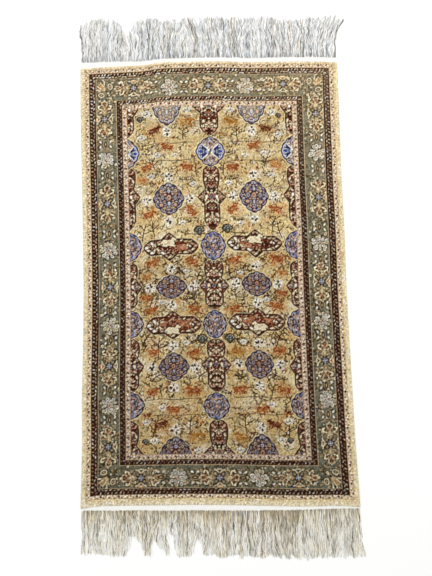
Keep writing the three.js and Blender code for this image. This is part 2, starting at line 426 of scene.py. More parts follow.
def blueMedallion(cloth, x, y, halfAcross, halfUp, royal, ground):  # pointed above and below
    spot, dx, dy = near(x, y, max(halfAcross, halfUp) + 8)
    jut = (0.09, 0.12) if royal else (0.05, 0.26)
    depth = lobedDepth(dx, dy, halfAcross, halfUp, 12, 0.07, jut, 9 if royal else 4)
    tie(cloth, spot, depth - 2.6, "cream", 0.45)
    tie(cloth, spot, depth, "navy")
    tie(cloth, spot, depth + 4.4, ground, 0.85)
    brokenRim(cloth, spot, dx, dy, depth, 5.2, "pearl", 0.7)
    inlay(cloth, spot, depth + 7, arabesque, x, y, halfAcross, halfUp, crownLook if royal else mosaicLook)
    u = halfAcross / 50
    v = halfUp / 50
    if royal:  # a pale waist between two bright blue wings
        flare = np.abs(dy) / v - 0.85 * np.abs(dx) / u
        tie(cloth, spot, np.maximum(flare - 5, np.abs(dx) / u - 15), "mist", 0.6)
        wing = np.maximum(flare - 1, np.maximum(depth + 4, 11 - np.abs(dx) / u))
        tie(cloth, spot, wing, "royal", 0.95)
        inlay(cloth, spot, wing + 1, arabesque, x, y, halfAcross, halfUp * 0.7, wingLook)
        tie(cloth, spot, np.maximum(wing, np.abs(depth + 7.4) - 1.7), "pearl", 0.7)
        tie(cloth, spot, np.maximum(np.abs(flare - 1.5) - 1.6, depth + 7), "ivory", 0.8)
        for a, b, wide, tall, petal in waistFlowers:
            tieOval(cloth, x + a * u, y + b * v, wide * u, tall * v, petal, 0.6, 0.85)
    for way in (-1, 1):  # two chevrons inside the head and the foot
        rise = way * halfUp
        chevron = [(-12 * u, rise - way * 18 * v), (0, rise - way * 5 * v), (12 * u, rise - way * 18 * v)]
        tieLine(cloth, (x, y, 0), chevron, 2.4, "slate" if royal else "royal", 0.45)
        chevron = [(-8 * u, rise - way * 22 * v), (0, rise - way * 13 * v), (8 * u, rise - way * 22 * v)]
        tieLine(cloth, (x, y, 0), chevron, 1.9, "pearl" if royal else "lavender", 0.7)
    if not royal:
        heart = ((7 * u, 8 * v, "umber", 0.8), (5 * u, 6 * v, "rose", 0.9), (2 * u, 2 * v, "pearl", 1.0))
        tieNest(cloth, x, y, 0, heart)
        for side in (-1, 1):
            tieOval(cloth, x + side * 21 * u, y + 4 * v, 6 * u, 12 * v, "navy", 0, 0.85)
            tieOval(cloth, x + side * 21 * u, y + 5 * v, 3 * u, 8 * v, "lavender", 0, 0.85)
            tieOval(cloth, x + side * 16 * u, y - 22 * v, 4.4 * u, 3 * v, "pearl", 0.5 * side, 0.9)
            tieOval(cloth, x + side * 8 * u, y + 17 * v, 4 * u, 3 * v, "pearl", 0.5 * side, 0.8)


crossOutline = {  # half width of a standing cartouche in waists, from its middle to its top and to its foot
    "up": [0, 0.3, 0.45, 0.7, 0.86, 0.95, 1],
    "upWidth": [0.9, 0.84, 1, 1.06, 0.94, 0.62, 0.1],
    "down": [0, 0.25, 0.4, 0.7, 0.84, 1],
    "downWidth": [0.9, 0.95, 1, 0.98, 0.66, 0],
    "armRise": 27,  # millimetres
}
crossLook = {
    "seed": 83, "folds": 2, "room": 9, "slim": 0.38, "sizes": (2.2, 5.4),
    "petals": ("cream", "umber", "rose", "umber", "brown", "umber", "umber", "brick", "chestnut", "umber"),
}


def crossHalfWidth(dy, row):  # domed head, pointed foot, pointed arms
    line = crossOutline
    above = np.interp(dy / (row["top"] - row["y"]), line["up"], line["upWidth"], right=0)
    below = np.interp(-dy / (row["y"] - row["bottom"]), line["down"], line["downWidth"], right=0)
    arm = np.clip(1 - (np.abs(dy) / line["armRise"]) ** 1.2, 0, 1)
    return row["waist"] * np.where(dy > 0, above, below) + (row["arm"] - row["waist"] * 0.9) * arm


def standingCartouche(cloth, row):  # brown cross-shaped panel with a stack of flowers
    x = row["x"]
    y = row["y"]
    spot, dx, dy = near(x, y, max(row["top"] - y, y - row["bottom"]) + 6)
    depth = (np.abs(dx) - crossHalfWidth(dy, row)) * 0.85
    depth = np.maximum(depth, np.maximum(dy - (row["top"] - y), (row["bottom"] - y) - dy))
    tie(cloth, spot, depth - 2.6, "cream", 0.3)
    tie(cloth, spot, depth, "umber")
    tie(cloth, spot, depth + 3.6, "brown")
    tie(cloth, spot, np.abs(depth + 5.6) - 0.8, "sand", 0.4)
    middle = (row["top"] + row["bottom"]) / 2
    tall = (row["top"] - row["bottom"]) / 2
    inlay(cloth, spot, depth + 5, arabesque, x, middle, row["arm"], tall, crossLook)
    for level, way in ((row["bottom"] + 40, 1), (row["top"] - 36, -1)):  # a palmette above and below
        for k in range(-2, 3):
            angle = math.pi / 2 * way + 0.62 * k
            px, py = onMotif((x, level, angle), 9.5, 0)
            petal = ("cream", "rose")[k % 2]
            tieNest(cloth, px, py, angle, ((7.6, 3.8, "umber", 0.8), (6.2, 2.5, petal, 0.9)))
        tieNest(cloth, x, level, 0, ((4.4, 3.6, "umber", 0.9), (2.2, 1.8, "sand", 0.9)))
        for side in (-1, 1):
            tieOval(cloth, x + side * 20, level + 16 * way, 3.2, 6.0, "cream", 0.4 * side, 0.85)
            tieOval(cloth, x + side * 18, level - 15 * way, 2.6, 5, "rose", -0.5 * side, 0.85)
    for step, level in enumerate(np.arange(row["bottom"] + 66, row["top"] - 56, 13)):
        petal = ("cream", "rose", "rust")[step % 3]
        tieNest(cloth, x, level, 0, ((5, 4.2, "umber", 0.8), (2.8, 2.4, petal, 1.0)))
    tieOval(cloth, x, y, 10, 8, "navy", 0, 0.75)
    tieDots(cloth, (x, y, 0.4), [(5, 0), (-5, 0), (0, 5), (0, -5)], 2.6, "lavender", 0.7)
    tieDots(cloth, (x, y, 0), [(0, 0)], 2.4, "umber", 0.9)
    for side in (-1, 1):  # dusky petals in each arm, with a pale leaf by the waist
        armX = x + side * (row["arm"] - 24)
        tieOval(cloth, armX, y, 13, 9, "lavender" if y < 0 else "sand", 0, 0.5)
        tieOval(cloth, armX - side * 9, y + 1, 4.4, 6.4, "ivory" if y > 0 else "cream", 0.4 * side, 0.9)
        tieOval(cloth, armX + side * 6, y + 2, 6, 2.8, "blush", 0.5 * side, 0.8)
        seeds = [(side, 4), (side * 2, -5), (side * 10, -3), (-side * 3, -1)]
        tieDots(cloth, (armX, y, 0), seeds, 2.2, "umber", 0.85)
        tieOval(cloth, x + side * (row["arm"] - 9), y, 4, 2.4, "rose", 0, 0.9)
        for rise in (-17, 17):
            tieOval(cloth, x + side * 13, y + rise, 5.4, 2.6, "cream", 0.7 * side * rise / 17, 0.85)


cartoucheLeaves = [  # columns: along, up, long, short, turn, dye
    (-86, 1, 8, 5, 0.5, "ivory"), (-80, -8, 7, 3, -0.4, "ivory"), (-66, 14, 11, 4, -0.9, "ivory"),
    (-56, 8, 8, 2.4, -1.2, "cream"), (-66, -17, 10, 4.6, 0.2, "ivory"),
    (-58, -9, 7, 2.6, 0.9, "cream"), (-46, -8, 11, 2.6, -0.7, "cream"),
    (-40, 11, 10, 2.6, 0.3, "cream"), (-40, -20, 8, 2.6, 0.2, "sand"),
    (-23, -21, 10, 3.6, -0.5, "ivory"), (-30, -8, 8, 2.2, -1.1, "rose"),
    (86, 2, 8, 3.6, 0.3, "sand"), (74, 10, 8, 2.8, -0.4, "blush"), (66, 17, 8, 2.6, 0.2, "sand"),
    (76, -10, 8, 3, 0.6, "cream"), (64, -15, 8, 2.8, -0.3, "blush"),
    (50, -20, 10, 2.8, 0.1, "cream"), (52, 18, 9, 2.6, 0.2, "sand"),
    (0, -36, 10, 2.4, 0.5, "cream"), (-10, -32, 7, 2, -0.5, "sand"), (7, 37, 6, 3, -0.9, "blush"),
    (-7, 37, 6, 3, 0.9, "blush"), (22, 20, 8, 2.2, -0.2, "sand"), (58, 4, 6, 3, 0.8, "cream"),
    (66, 2, 5, 2.4, -0.9, "ivory"), (36, 21, 6, 2.4, 0.5, "cream"), (12, -22, 6, 2.2, -0.6, "sand"),
    (30, -21, 7, 2.2, 0.3, "rose"), (-74, 4, 5, 2.2, 1.2, "sand"),
]
cartoucheLook = {
    "seed": 19, "folds": 1, "room": 26, "slim": 0.4, "sizes": (2.4, 5.5),
    "petals": ("umber", "brick", "chestnut", "sand", "umber", "brown", "rose"),
}


def lyingCartouche(cloth, row):  # brown panel on its side, pointed above and below, with beasts inside
    x = row["x"]
    y = row["y"]
    spot, dx, dy = near(x, y, row["half"] + 6)
    ends = np.clip((row["half"] - np.abs(dx)) / 26, 0, 1) ** 0.55
    crest = np.clip(1 - np.abs(dx - row["crestShift"]) / 27, 0, 1) ** 0.8
    reach = row["height"] * ends + (row["crest"] - row["height"]) * crest
    depth = np.maximum((np.abs(dy) - reach) * 0.85, np.abs(dx) - row["half"])
    tie(cloth, spot, depth - 2.4, "cream", 0.35)
    tie(cloth, spot, depth, "umber", 0.94)
    tie(cloth, spot, depth + 4.2, row["ground"])
    inlay(cloth, spot, depth + 5, arabesque, x, y, row["half"], row["crest"], cartoucheLook)
    glow(cloth, x + 26, y + 14, 14, 9, "brick", 0.7)
    glow(cloth, x + 6, y - 10, 14, 12, "brick", 0.6)
    for parts, along, up, length, facing, tints in row["beasts"][1:]:
        beast(cloth, parts, x + along, y + up, length, facing, 0, tints, "umber")
    for along, up, long, short, turn, petal in cartoucheLeaves:
        leafX = x + along + row["crestShift"] * (abs(along) < 25)
        tieOval(cloth, leafX, y + up, long + 1.6, short + 1.4, "umber", turn, 0.8)
        tieOval(cloth, leafX, y + up, long * 0.7, short, petal, turn, 0.88)
        curl = math.copysign(0.8, along * up + 1)
        tipX = leafX + 0.6 * long * math.cos(turn)
        tipY = y + up + 0.6 * long * math.sin(turn)
        tieOval(cloth, tipX, tipY, long * 0.5, short * 0.7, petal, turn + curl, 0.8)
        tieOval(cloth, tipX, tipY, long * 0.22, 1.2, "chestnut", turn + curl, 0.7)
    parts, along, up, length, facing, tints = row["beasts"][0]
    beast(cloth, parts, x + along, y + up, length, facing, 0, tints, "umber")


def tree(cloth, x, y, height, lean, leaves):  # dark trunk with forked twigs
    place = (x, y, math.radians(90 - lean))
    tieLine(cloth, place, [(0, 0), (height * 0.5, 2), (height, -1)], 1.9, "moss", 0.95)
    for a, b in ((0.3, 0.34), (0.45, -0.38), (0.65, 0.30), (0.8, -0.24)):
        tip = ((a + 0.22) * height, b * height)
        tieLine(cloth, place, [(a * height, 0.5), tip], 1.5, "moss", 0.9)
        px, py = onMotif(place, *tip)
        tieOval(cloth, px, py, 4.4, 2.4, leaves, place[2] + b * 3, 0.8)
        tieOval(cloth, px, py, 1.8, 1.2, "moss", 0, 0.8)


def cloudBloom(cloth, x, y, size):  # pale peony: a heap of ivory petals over dark leaves
    glow(cloth, x, y, 1.4 * size, 1.1 * size, "cream", 0.4)
    for a, b in ((-0.8, -0.6), (0.9, -0.4), (0.3, 0.9), (-0.4, 0.8)):
        tieOval(cloth, x + a * size, y + b * size, 0.34 * size, 0.2 * size, "darkSage", a * b * 3, 0.8)
    heap = ((-0.7, 0, 0.5), (0.7, 0.05, 0.5), (0, 0.45, 0.55), (-0.3, -0.35, 0.45), (0.35, -0.3, 0.45))
    for a, b, r in heap:
        tieOval(cloth, x + a * size, y + b * size, r * size, r * size * 0.7, "ivory", a, 0.8)
        tieOval(cloth, x + (a + 0.1) * size, y + b * size, 0.24 * size, 0.1 * size, "olive", a * 2, 0.7)
    tieOval(cloth, x + 0.1 * size, y, 0.3 * size, 0.2 * size, "slate", 0.4, 0.8)
    tieOval(cloth, x - 0.5 * size, y - 0.2 * size, 0.2 * size, 0.14 * size, "umber", 0, 0.8)


def leafyClump(cloth, x, y, size):  # dark grey-green bush
    for a, b in ((-0.55, 0), (0.55, 0.05), (0, 0.45), (0, -0.5), (-0.35, 0.3), (0.35, 0.3)):
        tieOval(cloth, x + a * size, y + b * size, 0.58 * size, 0.5 * size, "darkSage", 0, 0.9)
    for a, b in ((-0.6, 0), (0.6, 0.05), (0, 0.48), (0, -0.45), (-0.35, 0.35), (0.35, 0.35), (0, 0)):
        tieOval(cloth, x + a * size, y + b * size, 0.30 * size, 0.20 * size, "teal", 0.5, 0.8)
        tipX = x + (a + 0.12) * size
        tipY = y + (b + 0.1) * size
        tieOval(cloth, tipX, tipY, 0.13 * size, 0.09 * size, "sand", 0.5, 0.8)
        tieOval(cloth, x + (a - 0.1) * size, y + b * size, 0.10 * size, 0.10 * size, "umber", 0.5, 0.75)


def scattered(count, low, high, *spans):  # places in a rectangle, a value from each span and a whole number
    spans = ((low[0], high[0]), (low[1], high[1]), *spans)
    columns = [chance.uniform(*span, count) for span in spans]
    return zip(*columns, chance.integers(0, 60, count))


def vines(cloth, count, low, high, girth, stems):  # long curved stems with leaves along them
    for x, y, turn, bend, reach, pick in scattered(count, low, high, (0, 2 * math.pi), (14, 45), (30, 70)):
        sweep = np.linspace(-0.5, 0.5, 7) * reach / bend
        run = [(bend * math.sin(t), bend * (1 - math.cos(t))) for t in sweep]
        tieLine(cloth, (x, y, turn), run, girth, stems[pick % len(stems)], 0.9)
        for n in (0, 1, 2, 4, 5, 6):
            px, py = onMotif((x, y, turn), *run[n])
            lean = turn + sweep[n] + 0.9 * (-1) ** (n + pick)
            leaf = ("cream", "goldLeaf", *stems)[(pick + n) % (len(stems) + 2)]
            tieOval(cloth, px + 3 * math.cos(lean), py + 3 * math.sin(lean), 5.2, 2.0, leaf, lean, 0.9)


def stalks(cloth, count, low, high, stems):  # loose curved stems of grass
    for x, y, turn, length, bend, pick in scattered(count, low, high, (0, 2 * math.pi), (8, 22), (-6, 6)):
        run = [(-length / 2, 0), (-length / 5, bend), (length / 5, bend), (length / 2, 0)]
        tieLine(cloth, (x, y, turn), run, 1.3, stems[pick % len(stems)], 0.9)


def sprigs(cloth, count, low, high, stems, petals):  # small sprays scattered over a ground
    for x, y, turn, size, pick in scattered(count, low, high, (0, 2 * math.pi), (0.7, 1.3)):
        place = (x, y, turn)
        stem = stems[pick % len(stems)]
        petal = petals[pick % len(petals)]
        tieLine(cloth, place, [(-9 * size, -1), (0, 2 * size), (8 * size, 0)], 1.0, stem, 0.85)
        for a, b in ((-4, 3.5), (3, -3.5)):
            px, py = onMotif(place, a * size, b * size)
            tieOval(cloth, px, py, 3.6 * size, 1.7 * size, stem, turn + 0.7, 0.8)
        px, py = onMotif(place, 8 * size, 0)
        tieOval(cloth, px, py, 5.4 * size, 4.6 * size, stem, turn, 0.55)
        tieOval(cloth, px, py, 4.2 * size, 3.4 * size, petal, turn, 0.95)
        tieOval(cloth, px, py, 1.5 * size, 1.5 * size, stem, 0, 0.85)


def flecks(cloth, count, low, high):  # single knots and short rows of other dyes, all over the ground
    tints = ("olive", "goldLeaf", "cream", "brown", "apricot",
             "sage", "ivory", "chestnut", "goldLeaf", "olive")
    for x, y, turn, size, pick in scattered(count, low, high, (0, math.pi), (1.8, 4.4)):
        tieOval(cloth, x, y, size, 1.4, tints[pick % len(tints)], turn, 0.35 + pick / 150)


# Where the field's motifs stand
columnMedallions = [  # blue, down the middle and cut in half by both sides
    {"y": 434, "half": 53, "tall": 55, "leftTip": -250, "rightTip": 247, "sideY": 438,
     "royal": True, "ground": "violet"},
    {"y": 100, "half": 45, "tall": 51, "leftTip": -248, "rightTip": 247, "sideY": 105,
     "royal": False, "ground": "royal"},
    {"y": -170, "half": 43, "tall": 49, "leftTip": -245, "rightTip": 246, "sideY": -164,
     "royal": False, "ground": "violet"},
    {"y": -444, "half": 46, "tall": 46, "leftTip": -242, "rightTip": 248, "sideY": -438,
     "royal": False, "ground": "violet"},
]
octofoils = [
    {"x": -151, "y": 602, "half": 52, "tall": 73},
    {"x": 148, "y": 606, "half": 53, "tall": 73},
    {"x": -152, "y": 267, "half": 56, "tall": 59},
    {"x": 148, "y": 276, "half": 52, "tall": 59},
    {"x": -149, "y": -41, "half": 55, "tall": 42},
    {"x": 148, "y": -30, "half": 54, "tall": 44},
    {"x": -143, "y": -313, "half": 54, "tall": 49},
    {"x": 148, "y": -303, "half": 50, "tall": 50},
    {"x": -142, "y": -602, "half": 55, "tall": 60},
    {"x": 148, "y": -598, "half": 53, "tall": 66},
]
standing = [  # brown, down the middle
    {"x": -2, "y": 600, "top": 712, "bottom": 488, "waist": 34, "arm": 58},
    {"x": 0, "y": 271, "top": 386, "bottom": 150, "waist": 29, "arm": 51},
    {"x": 0, "y": -38, "top": 52, "bottom": -124, "waist": 33, "arm": 52},
    {"x": 2, "y": -306, "top": -218, "bottom": -402, "waist": 31, "arm": 52},
    {"x": 4, "y": -600, "top": -486, "bottom": -720, "waist": 31, "arm": 54},
]
sideStanding = [  # their halves along both sides
    {"y": 600, "top": 712, "bottom": 492, "leftX": -296, "rightX": 295},
    {"y": 281, "top": 390, "bottom": 158, "leftX": -296, "rightX": 296},
    {"y": -36, "top": 52, "bottom": -118, "leftX": -296, "rightX": 294},
    {"y": -308, "top": -214, "bottom": -400, "leftX": -290, "rightX": 294},
    {"y": -600, "top": -488, "bottom": -720, "leftX": -294, "rightX": 297},
]
paleTints = ("cream", "ivory", "sand", "ivory", "goldLeaf")
duskTints = ("terracotta", "brick", "rose", "peach", "chestnut", "rust")
roseTints = ("terracotta", "rose", "brick", "peach", "rose")
lying = [  # brown with beasts, between the columns; their beasts: parts, along, up, length, facing, dyes
    {"x": -148, "y": 98, "half": 97, "height": 28, "crest": 51, "crestShift": -6, "ground": "brown",
     "beasts": [(ramParts, -8, 14, 52, 1, paleTints), (deerParts, 42, -3, 48, 1, roseTints)]},
    {"x": 144, "y": 110, "half": 97, "height": 27, "crest": 51, "crestShift": 3, "ground": "brown",
     "beasts": [(ramParts, 2, 15, 52, 1, paleTints), (deerParts, -30, -8, 46, -1, roseTints)]},
    {"x": -143, "y": -172, "half": 96, "height": 30, "crest": 49, "crestShift": -3, "ground": "chestnut",
     "beasts": [(ramParts, -2, -17, 50, 1, paleTints), (deerParts, 38, 4, 54, -1, duskTints),
                (deerParts, -38, 3, 36, 1, duskTints)]},
    {"x": 145, "y": -161, "half": 97, "height": 29, "crest": 49, "crestShift": 3, "ground": "chestnut",
     "beasts": [(ramParts, 8, -15, 50, -1, paleTints), (deerParts, -36, 4, 54, 1, duskTints),
                (deerParts, 42, 5, 36, -1, duskTints)]},
]
fieldBeasts = [  # columns: x, y, length, facing, tilt in degrees, dye, belly
    (-152, 452, 52, -1, -8, "rust", "apricot"),
    (153, 458, 50, 1, 8, "rust", "apricot"),
    (-82, 543, 58, 1, 0, "amber", "straw"),
    (77, 543, 58, -1, 0, "amber", "straw"),
    (-195, 515, 54, 1, 10, "chestnut", "rust"),
    (196, 518, 54, -1, -10, "chestnut", "rust"),
    (-225, 384, 48, 1, 12, "rust", "apricot"),
    (-84, 378, 54, -1, 0, "rust", "apricot"),
    (77, 378, 52, 1, 0, "rust", "brick"),
    (228, 387, 48, -1, -10, "apricot", "rust"),
    (-241, 340, 36, 1, -10, "apricot", "rust"),
    (-222, 215, 52, 1, 4, "rust", "apricot"),
    (-73, 222, 52, -1, -34, "rust", "apricot"),
    (74, 230, 54, 1, 32, "rust", "apricot"),
    (222, 229, 54, -1, -4, "rust", "apricot"),
    (-215, 43, 52, 1, 6, "rust", "apricot"),
    (-76, 44, 52, -1, -6, "rust", "apricot"),
    (74, 50, 50, 1, 10, "rust", "apricot"),
    (219, 56, 60, -1, 0, "rust", "brick"),
    (-236, -2, 38, 1, 10, "apricot", "rust"),
    (238, 8, 38, -1, -10, "apricot", "rust"),
    (-237, -76, 44, 1, -6, "rust", "apricot"),
    (236, -63, 44, -1, 6, "rust", "apricot"),
    (-220, -119, 50, 1, 0, "rust", "apricot"),
    (-70, -118, 46, -1, 0, "rust", "apricot"),
    (69, -115, 46, 1, 0, "rust", "apricot"),
    (214, -106, 54, -1, 0, "rust", "apricot"),
    (-214, -262, 44, 1, -8, "rust", "apricot"),
    (-74, -268, 52, -1, 26, "rust", "apricot"),
    (75, -263, 52, 1, -14, "amber", "rust"),
    (220, -257, 50, -1, 6, "rust", "apricot"),
    (-216, -396, 46, 1, 8, "rust", "apricot"),
    (-77, -394, 60, -1, 0, "rust", "brick"),
    (80, -389, 54, 1, 0, "rust", "brick"),
    (230, -388, 52, -1, -4, "rust", "apricot"),
    (-146, -456, 54, -1, 0, "rust", "apricot"),
    (154, -453, 52, 1, 0, "rust", "apricot"),
    (-234, -472, 30, 1, 0, "chestnut", "rust"),
    (239, -462, 28, -1, 0, "chestnut", "rust"),
    (-72, -544, 58, 1, 0, "amber", "straw"),
    (80, -545, 58, -1, 0, "amber", "straw"),
    (-190, -505, 56, 1, 8, "chestnut", "rust"),
    (191, -502, 56, -1, -8, "chestnut", "rust"),
]
whiteBlooms = [  # columns: x, y, size
    (-222, 580, 17), (222, 578, 15), (-78, 588, 13), (74, 586, 13), (-242, 494, 14), (240, 497, 15),
    (-188, 425, 13), (188, 432, 11), (-125, 424, 9), (122, 424, 10), (-212, 350, 12), (212, 352, 11),
    (-62, 318, 12), (62, 322, 12), (-105, 182, 11), (98, 180, 11), (-96, 12, 10), (92, 8, 10),
    (-180, -92, 12), (180, -84, 12), (-100, -232, 11), (96, -228, 11), (-180, -448, 14), (186, -436, 13),
    (-238, -494, 13), (241, -490, 15), (-212, -556, 14), (214, -552, 14), (-66, -590, 12), (76, -586, 13),
]
clumps = [(-48, 154, 18), (50, 161, 18), (-46, -219, 18), (50, -216, 18), (-246, 562, 12), (243, 566, 10),
          (-243, -558, 11), (243, -552, 11)]  # columns: x, y, size
trees = [  # columns: x, y, height, lean, leaves
    (-248, 122, 62, 12, "olive"), (-205, 140, 50, -8, "goldLeaf"), (206, 150, 58, 14, "olive"),
    (240, 128, 60, -16, "goldLeaf"), (-196, 372, 40, -16, "moss"), (190, 380, 40, 14, "moss"),
    (-50, 345, 46, -4, "olive"), (44, 350, 46, 4, "olive"), (-95, 480, 42, 4, "moss"),
    (98, 476, 44, -6, "moss"), (-248, -228, 56, 40, "olive"), (-196, -284, 70, 2, "olive"),
    (208, -246, 56, 20, "olive"), (250, -206, 50, -44, "goldLeaf"), (-92, -538, 62, 4, "olive"),
    (98, -534, 62, -4, "olive"), (-216, -540, 60, 16, "moss"), (240, -560, 78, 2, "moss"),
    (-184, -410, 38, -12, "moss"), (188, -406, 38, 14, "moss"), (-60, -352, 40, 50, "goldLeaf"),
    (100, -356, 40, -50, "olive"), (-70, -88, 36, 8, "chestnut"), (76, -84, 36, -8, "chestnut"),
    (-60, -20, 34, 20, "goldLeaf"), (60, -14, 34, -16, "goldLeaf"), (-214, -352, 34, 60, "moss"),
    (216, -344, 36, -60, "moss"),
]
boughs = [  # dark crescents under the beasts; columns: x, y, half width
    (-89, 332, 24), (71, 336, 24), (-206, 352, 18), (200, 356, 18), (-92, 182, 20), (92, 190, 20),
    (-96, 8, 22), (94, 14, 22), (-90, -84, 20), (92, -78, 20), (-92, -236, 22), (96, -230, 22),
    (-206, -360, 20), (210, -352, 20), (-84, -352, 20), (88, -346, 20),
]
groundLines = [  # columns: x from, x to, y
    (-242, -62, 467), (62, 242, 472), (-246, -70, 404), (68, 240, 404), (-232, -50, -420), (60, 240, -412),
    (-236, -60, -473), (62, 236, -468), (-100, -40, 140), (60, 120, 148),
]


fieldSet = {  # corners and heights in millimetres
    "low": (-292, -602),
    "high": (292, 604),
    "grassLine": 180,  # above these two lines the stems are paler
    "flowerLine": 150,
    "patches": 520,
    "patchTints": ("goldLeaf", "cream", "apricot", "ivory", "sage", "straw", "amber", "cream"),
    "paleGround": [(-152, 434), (152, 437), (-146, -446), (150, -440)],  # between two ground lines
    "petals": ("cream", "rust", "goldLeaf", "apricot", "cream", "peach", "ivory", "goldLeaf", "cream"),
    "flecks": 7000,
    "bloomGap": 20,
    "bloomLimit": 590,
    "cutEdge": 293,  # where the side medallions are cut in half
    "sideWaist": 29,
    "sideArm": 45,
}


def strewGround(cloth):  # dye lots, grass, sprays and vines
    low = fieldSet["low"]
    high = fieldSet["high"]
    count = fieldSet["patches"]
    patchX = chance.uniform(-290, 290, count)
    patchY = chance.uniform(-600, 600, count)
    for x, y, size in zip(patchX, patchY, chance.uniform(10, 36, count)):
        patch = fieldSet["patchTints"][int(size * 7) % len(fieldSet["patchTints"])]
        glow(cloth, x, y, size, size * 0.7, patch, 0.34 if patch in ("sage", "amber") else 0.6)
    for row in octofoils:
        share = 0.45 if row["y"] > 200 else 0.1
        glow(cloth, row["x"], row["y"], row["half"] * 1.9, row["tall"] * 1.9, "cream", share)
    line = fieldSet["grassLine"]
    stalks(cloth, 130, (low[0], line), high, ("olive", "goldLeaf", "chestnut", "sage"))
    stalks(cloth, 260, low, (high[0], line), ("umber", "moss", "olive", "chestnut", "moss"))
    line = fieldSet["flowerLine"]
    stems = ("olive", "goldLeaf", "sage", "chestnut", "olive", "moss")
    sprigs(cloth, 430, (low[0], line), high, stems, fieldSet["petals"])
    stems = ("olive", "moss", "olive", "umber", "goldLeaf", "chestnut")
    sprigs(cloth, 800, low, (high[0], line), stems, fieldSet["petals"])
    flecks(cloth, fieldSet["flecks"], low, high)
    for x, y in fieldSet["paleGround"]:
        glow(cloth, x, y, 100, 32, "cream", 0.4)
    for x0, x1, y in groundLines:
        steps = np.linspace(x0, x1, 12)
        for a, b in zip(steps, steps[1:]):
            tieStroke(cloth, a, y + 2 * math.sin(a / 17), b, y + 2 * math.sin(b / 17), 1.3, "umber", 0.75)
    vines(cloth, 130, (-290, line), (290, 600), 0.9, ("olive", "goldLeaf", "chestnut", "sage", "moss"))
    stems = ("olive", "chestnut", "brown", "moss", "umber")
    vines(cloth, 210, (-290, -598), (290, line), 1.25, stems)
    vines(cloth, 150, (-286, -250), (286, 70), 1.25, stems)


def plantGarden(cloth):  # trees, blooms, bushes and beasts
    for row in trees:
        tree(cloth, *row)
    for x, y, half in boughs:
        run = [(-half, 6), (-0.6 * half, 1), (0, 0), (0.6 * half, 1), (half, 6)]
        tieLine(cloth, (x, y, 0), run, 1.5, "moss", 0.9)
        for a, b in ((-0.9, 10), (-0.6, 12), (-0.3, 8), (0, 9), (0.3, 7), (0.6, 11)):
            twig = [(a * half, 1), ((a + 0.16) * half, b)]
            tieLine(cloth, (x, y, 0), twig, 1.3, ("moss", "olive")[b % 2], 0.9)
    for row in whiteBlooms:
        cloudBloom(cloth, *row)
    for row in clumps:
        leafyClump(cloth, *row)
    for x, y, length, facing, tilt, colour, belly in fieldBeasts:
        ground = "amber" if colour == "amber" else "apricot"
        glow(cloth, x, y - 1, length * 0.8, length * 0.58, ground, 0.55)
        tints = (colour, belly, "brick", "peach", "chestnut")
        beast(cloth, deerParts, x, y, length * 0.84, facing, math.radians(tilt), tints)


def setMedallions(cloth):  # lobed ones with blossoms, brown panels, the blue column and its halves
    for row in octofoils:
        for a, b in ((1, 0), (-1, 0), (0, 1), (0, -1)):
            reach = (row["half"] if a else row["tall"]) + fieldSet["bloomGap"]
            if abs(row["y"] + b * reach) < fieldSet["bloomLimit"]:
                blossom(cloth, row["x"] + a * reach, row["y"] + b * reach, math.atan2(b, a), 1.0)
        octofoil(cloth, row["x"], row["y"], row["half"], row["tall"])
        if row["y"] > fieldSet["bloomLimit"]:  # painted sheen: paler under the head border, where the nap catches the light
            glow(cloth, row["x"], row["y"] + 8, row["half"], row["tall"], "cream", 0.36)
        if row["y"] < 100:  # browner towards the foot
            glow(cloth, row["x"], row["y"], row["half"] * 1.1, row["tall"] * 1.1, "chestnut", 0.34)
    for row in lying:
        lyingCartouche(cloth, row)
    for row in standing:
        standingCartouche(cloth, row)
    for row in sideStanding:
        for x in (row["leftX"], row["rightX"]):
            standingCartouche(cloth, dict(row, x=x, waist=fieldSet["sideWaist"], arm=fieldSet["sideArm"]))
    for row in columnMedallions:
        look = (row["tall"], row["royal"], row["ground"])
        blueMedallion(cloth, 0, row["y"], row["half"], *look)
        for tip in (row["leftTip"], row["rightTip"]):
            edge = math.copysign(fieldSet["cutEdge"], tip)
            blueMedallion(cloth, edge, row["sideY"], abs(edge - tip), *look)


def knotField():
    cloth = np.empty((len(chartY), len(chartX), 3))
    up = chartY[:, None, None]
    # painted light: the ground pales from wheat at the foot to straw at the head, as if lit from the head
    # end
    cloth[:] = dye["wheat"] + (dye["straw"] - dye["wheat"]) * np.clip(up / 1300 + 0.5, 0, 1)
    strewGround(cloth)
    plantGarden(cloth)
    cloth *= 1 + 0.17 * mottle(3.4) + 0.07 * mottle(9)
    cloth *= 1 - 0.14 * np.exp(-((up + 30) / 100) ** 2)  # painted shade: darker across the middle
    cloth *= 1 - 0.19 * np.clip((up - 180) / 360, 0, 1)  # painted shade as well, darker towards the head border
    setMedallions(cloth)
    return cloth


# The frame of bands round the field, outermost first: how far each reaches
bands = [
    {"band": "outer guard", "side": 442, "head": 757, "foot": -743, "dye": "buff"},
    {"band": "dark guard", "side": 426, "head": 741, "foot": -729, "dye": "soot"},
    {"band": "line", "side": 402.4, "head": 719, "foot": -709.4, "dye": "sand"},
    {"band": "border", "side": 401.5, "head": 718, "foot": -708.5, "dye": "sage"},
    {"band": "line", "side": 330, "head": 638, "foot": -635, "dye": "sand"},
    {"band": "inner dark guard", "side": 329, "head": 637, "foot": -634, "dye": "soot"},
    {"band": "inner guard", "side": 309, "head": 619, "foot": -617, "dye": "blush"},
    {"band": "field", "side": 292, "head": 603, "foot": -600, "dye": "straw"},
]
borderFlowers = [  # columns: x, y, turn in degrees
    (-372, 570, 90), (-369, 262, 90), (-364, -32, 90), (-365, -303, 90), (-368, -572, 90),
    (375, 573, 90), (373, 272, 90), (372, -22, 90), (371, -290, 90), (374, -563, 90),
    (-267, 681, 0), (-2, 675, 0), (263, 681, 0), (-258, -676, 0), (3, -677, 0), (262, -673, 0),
]
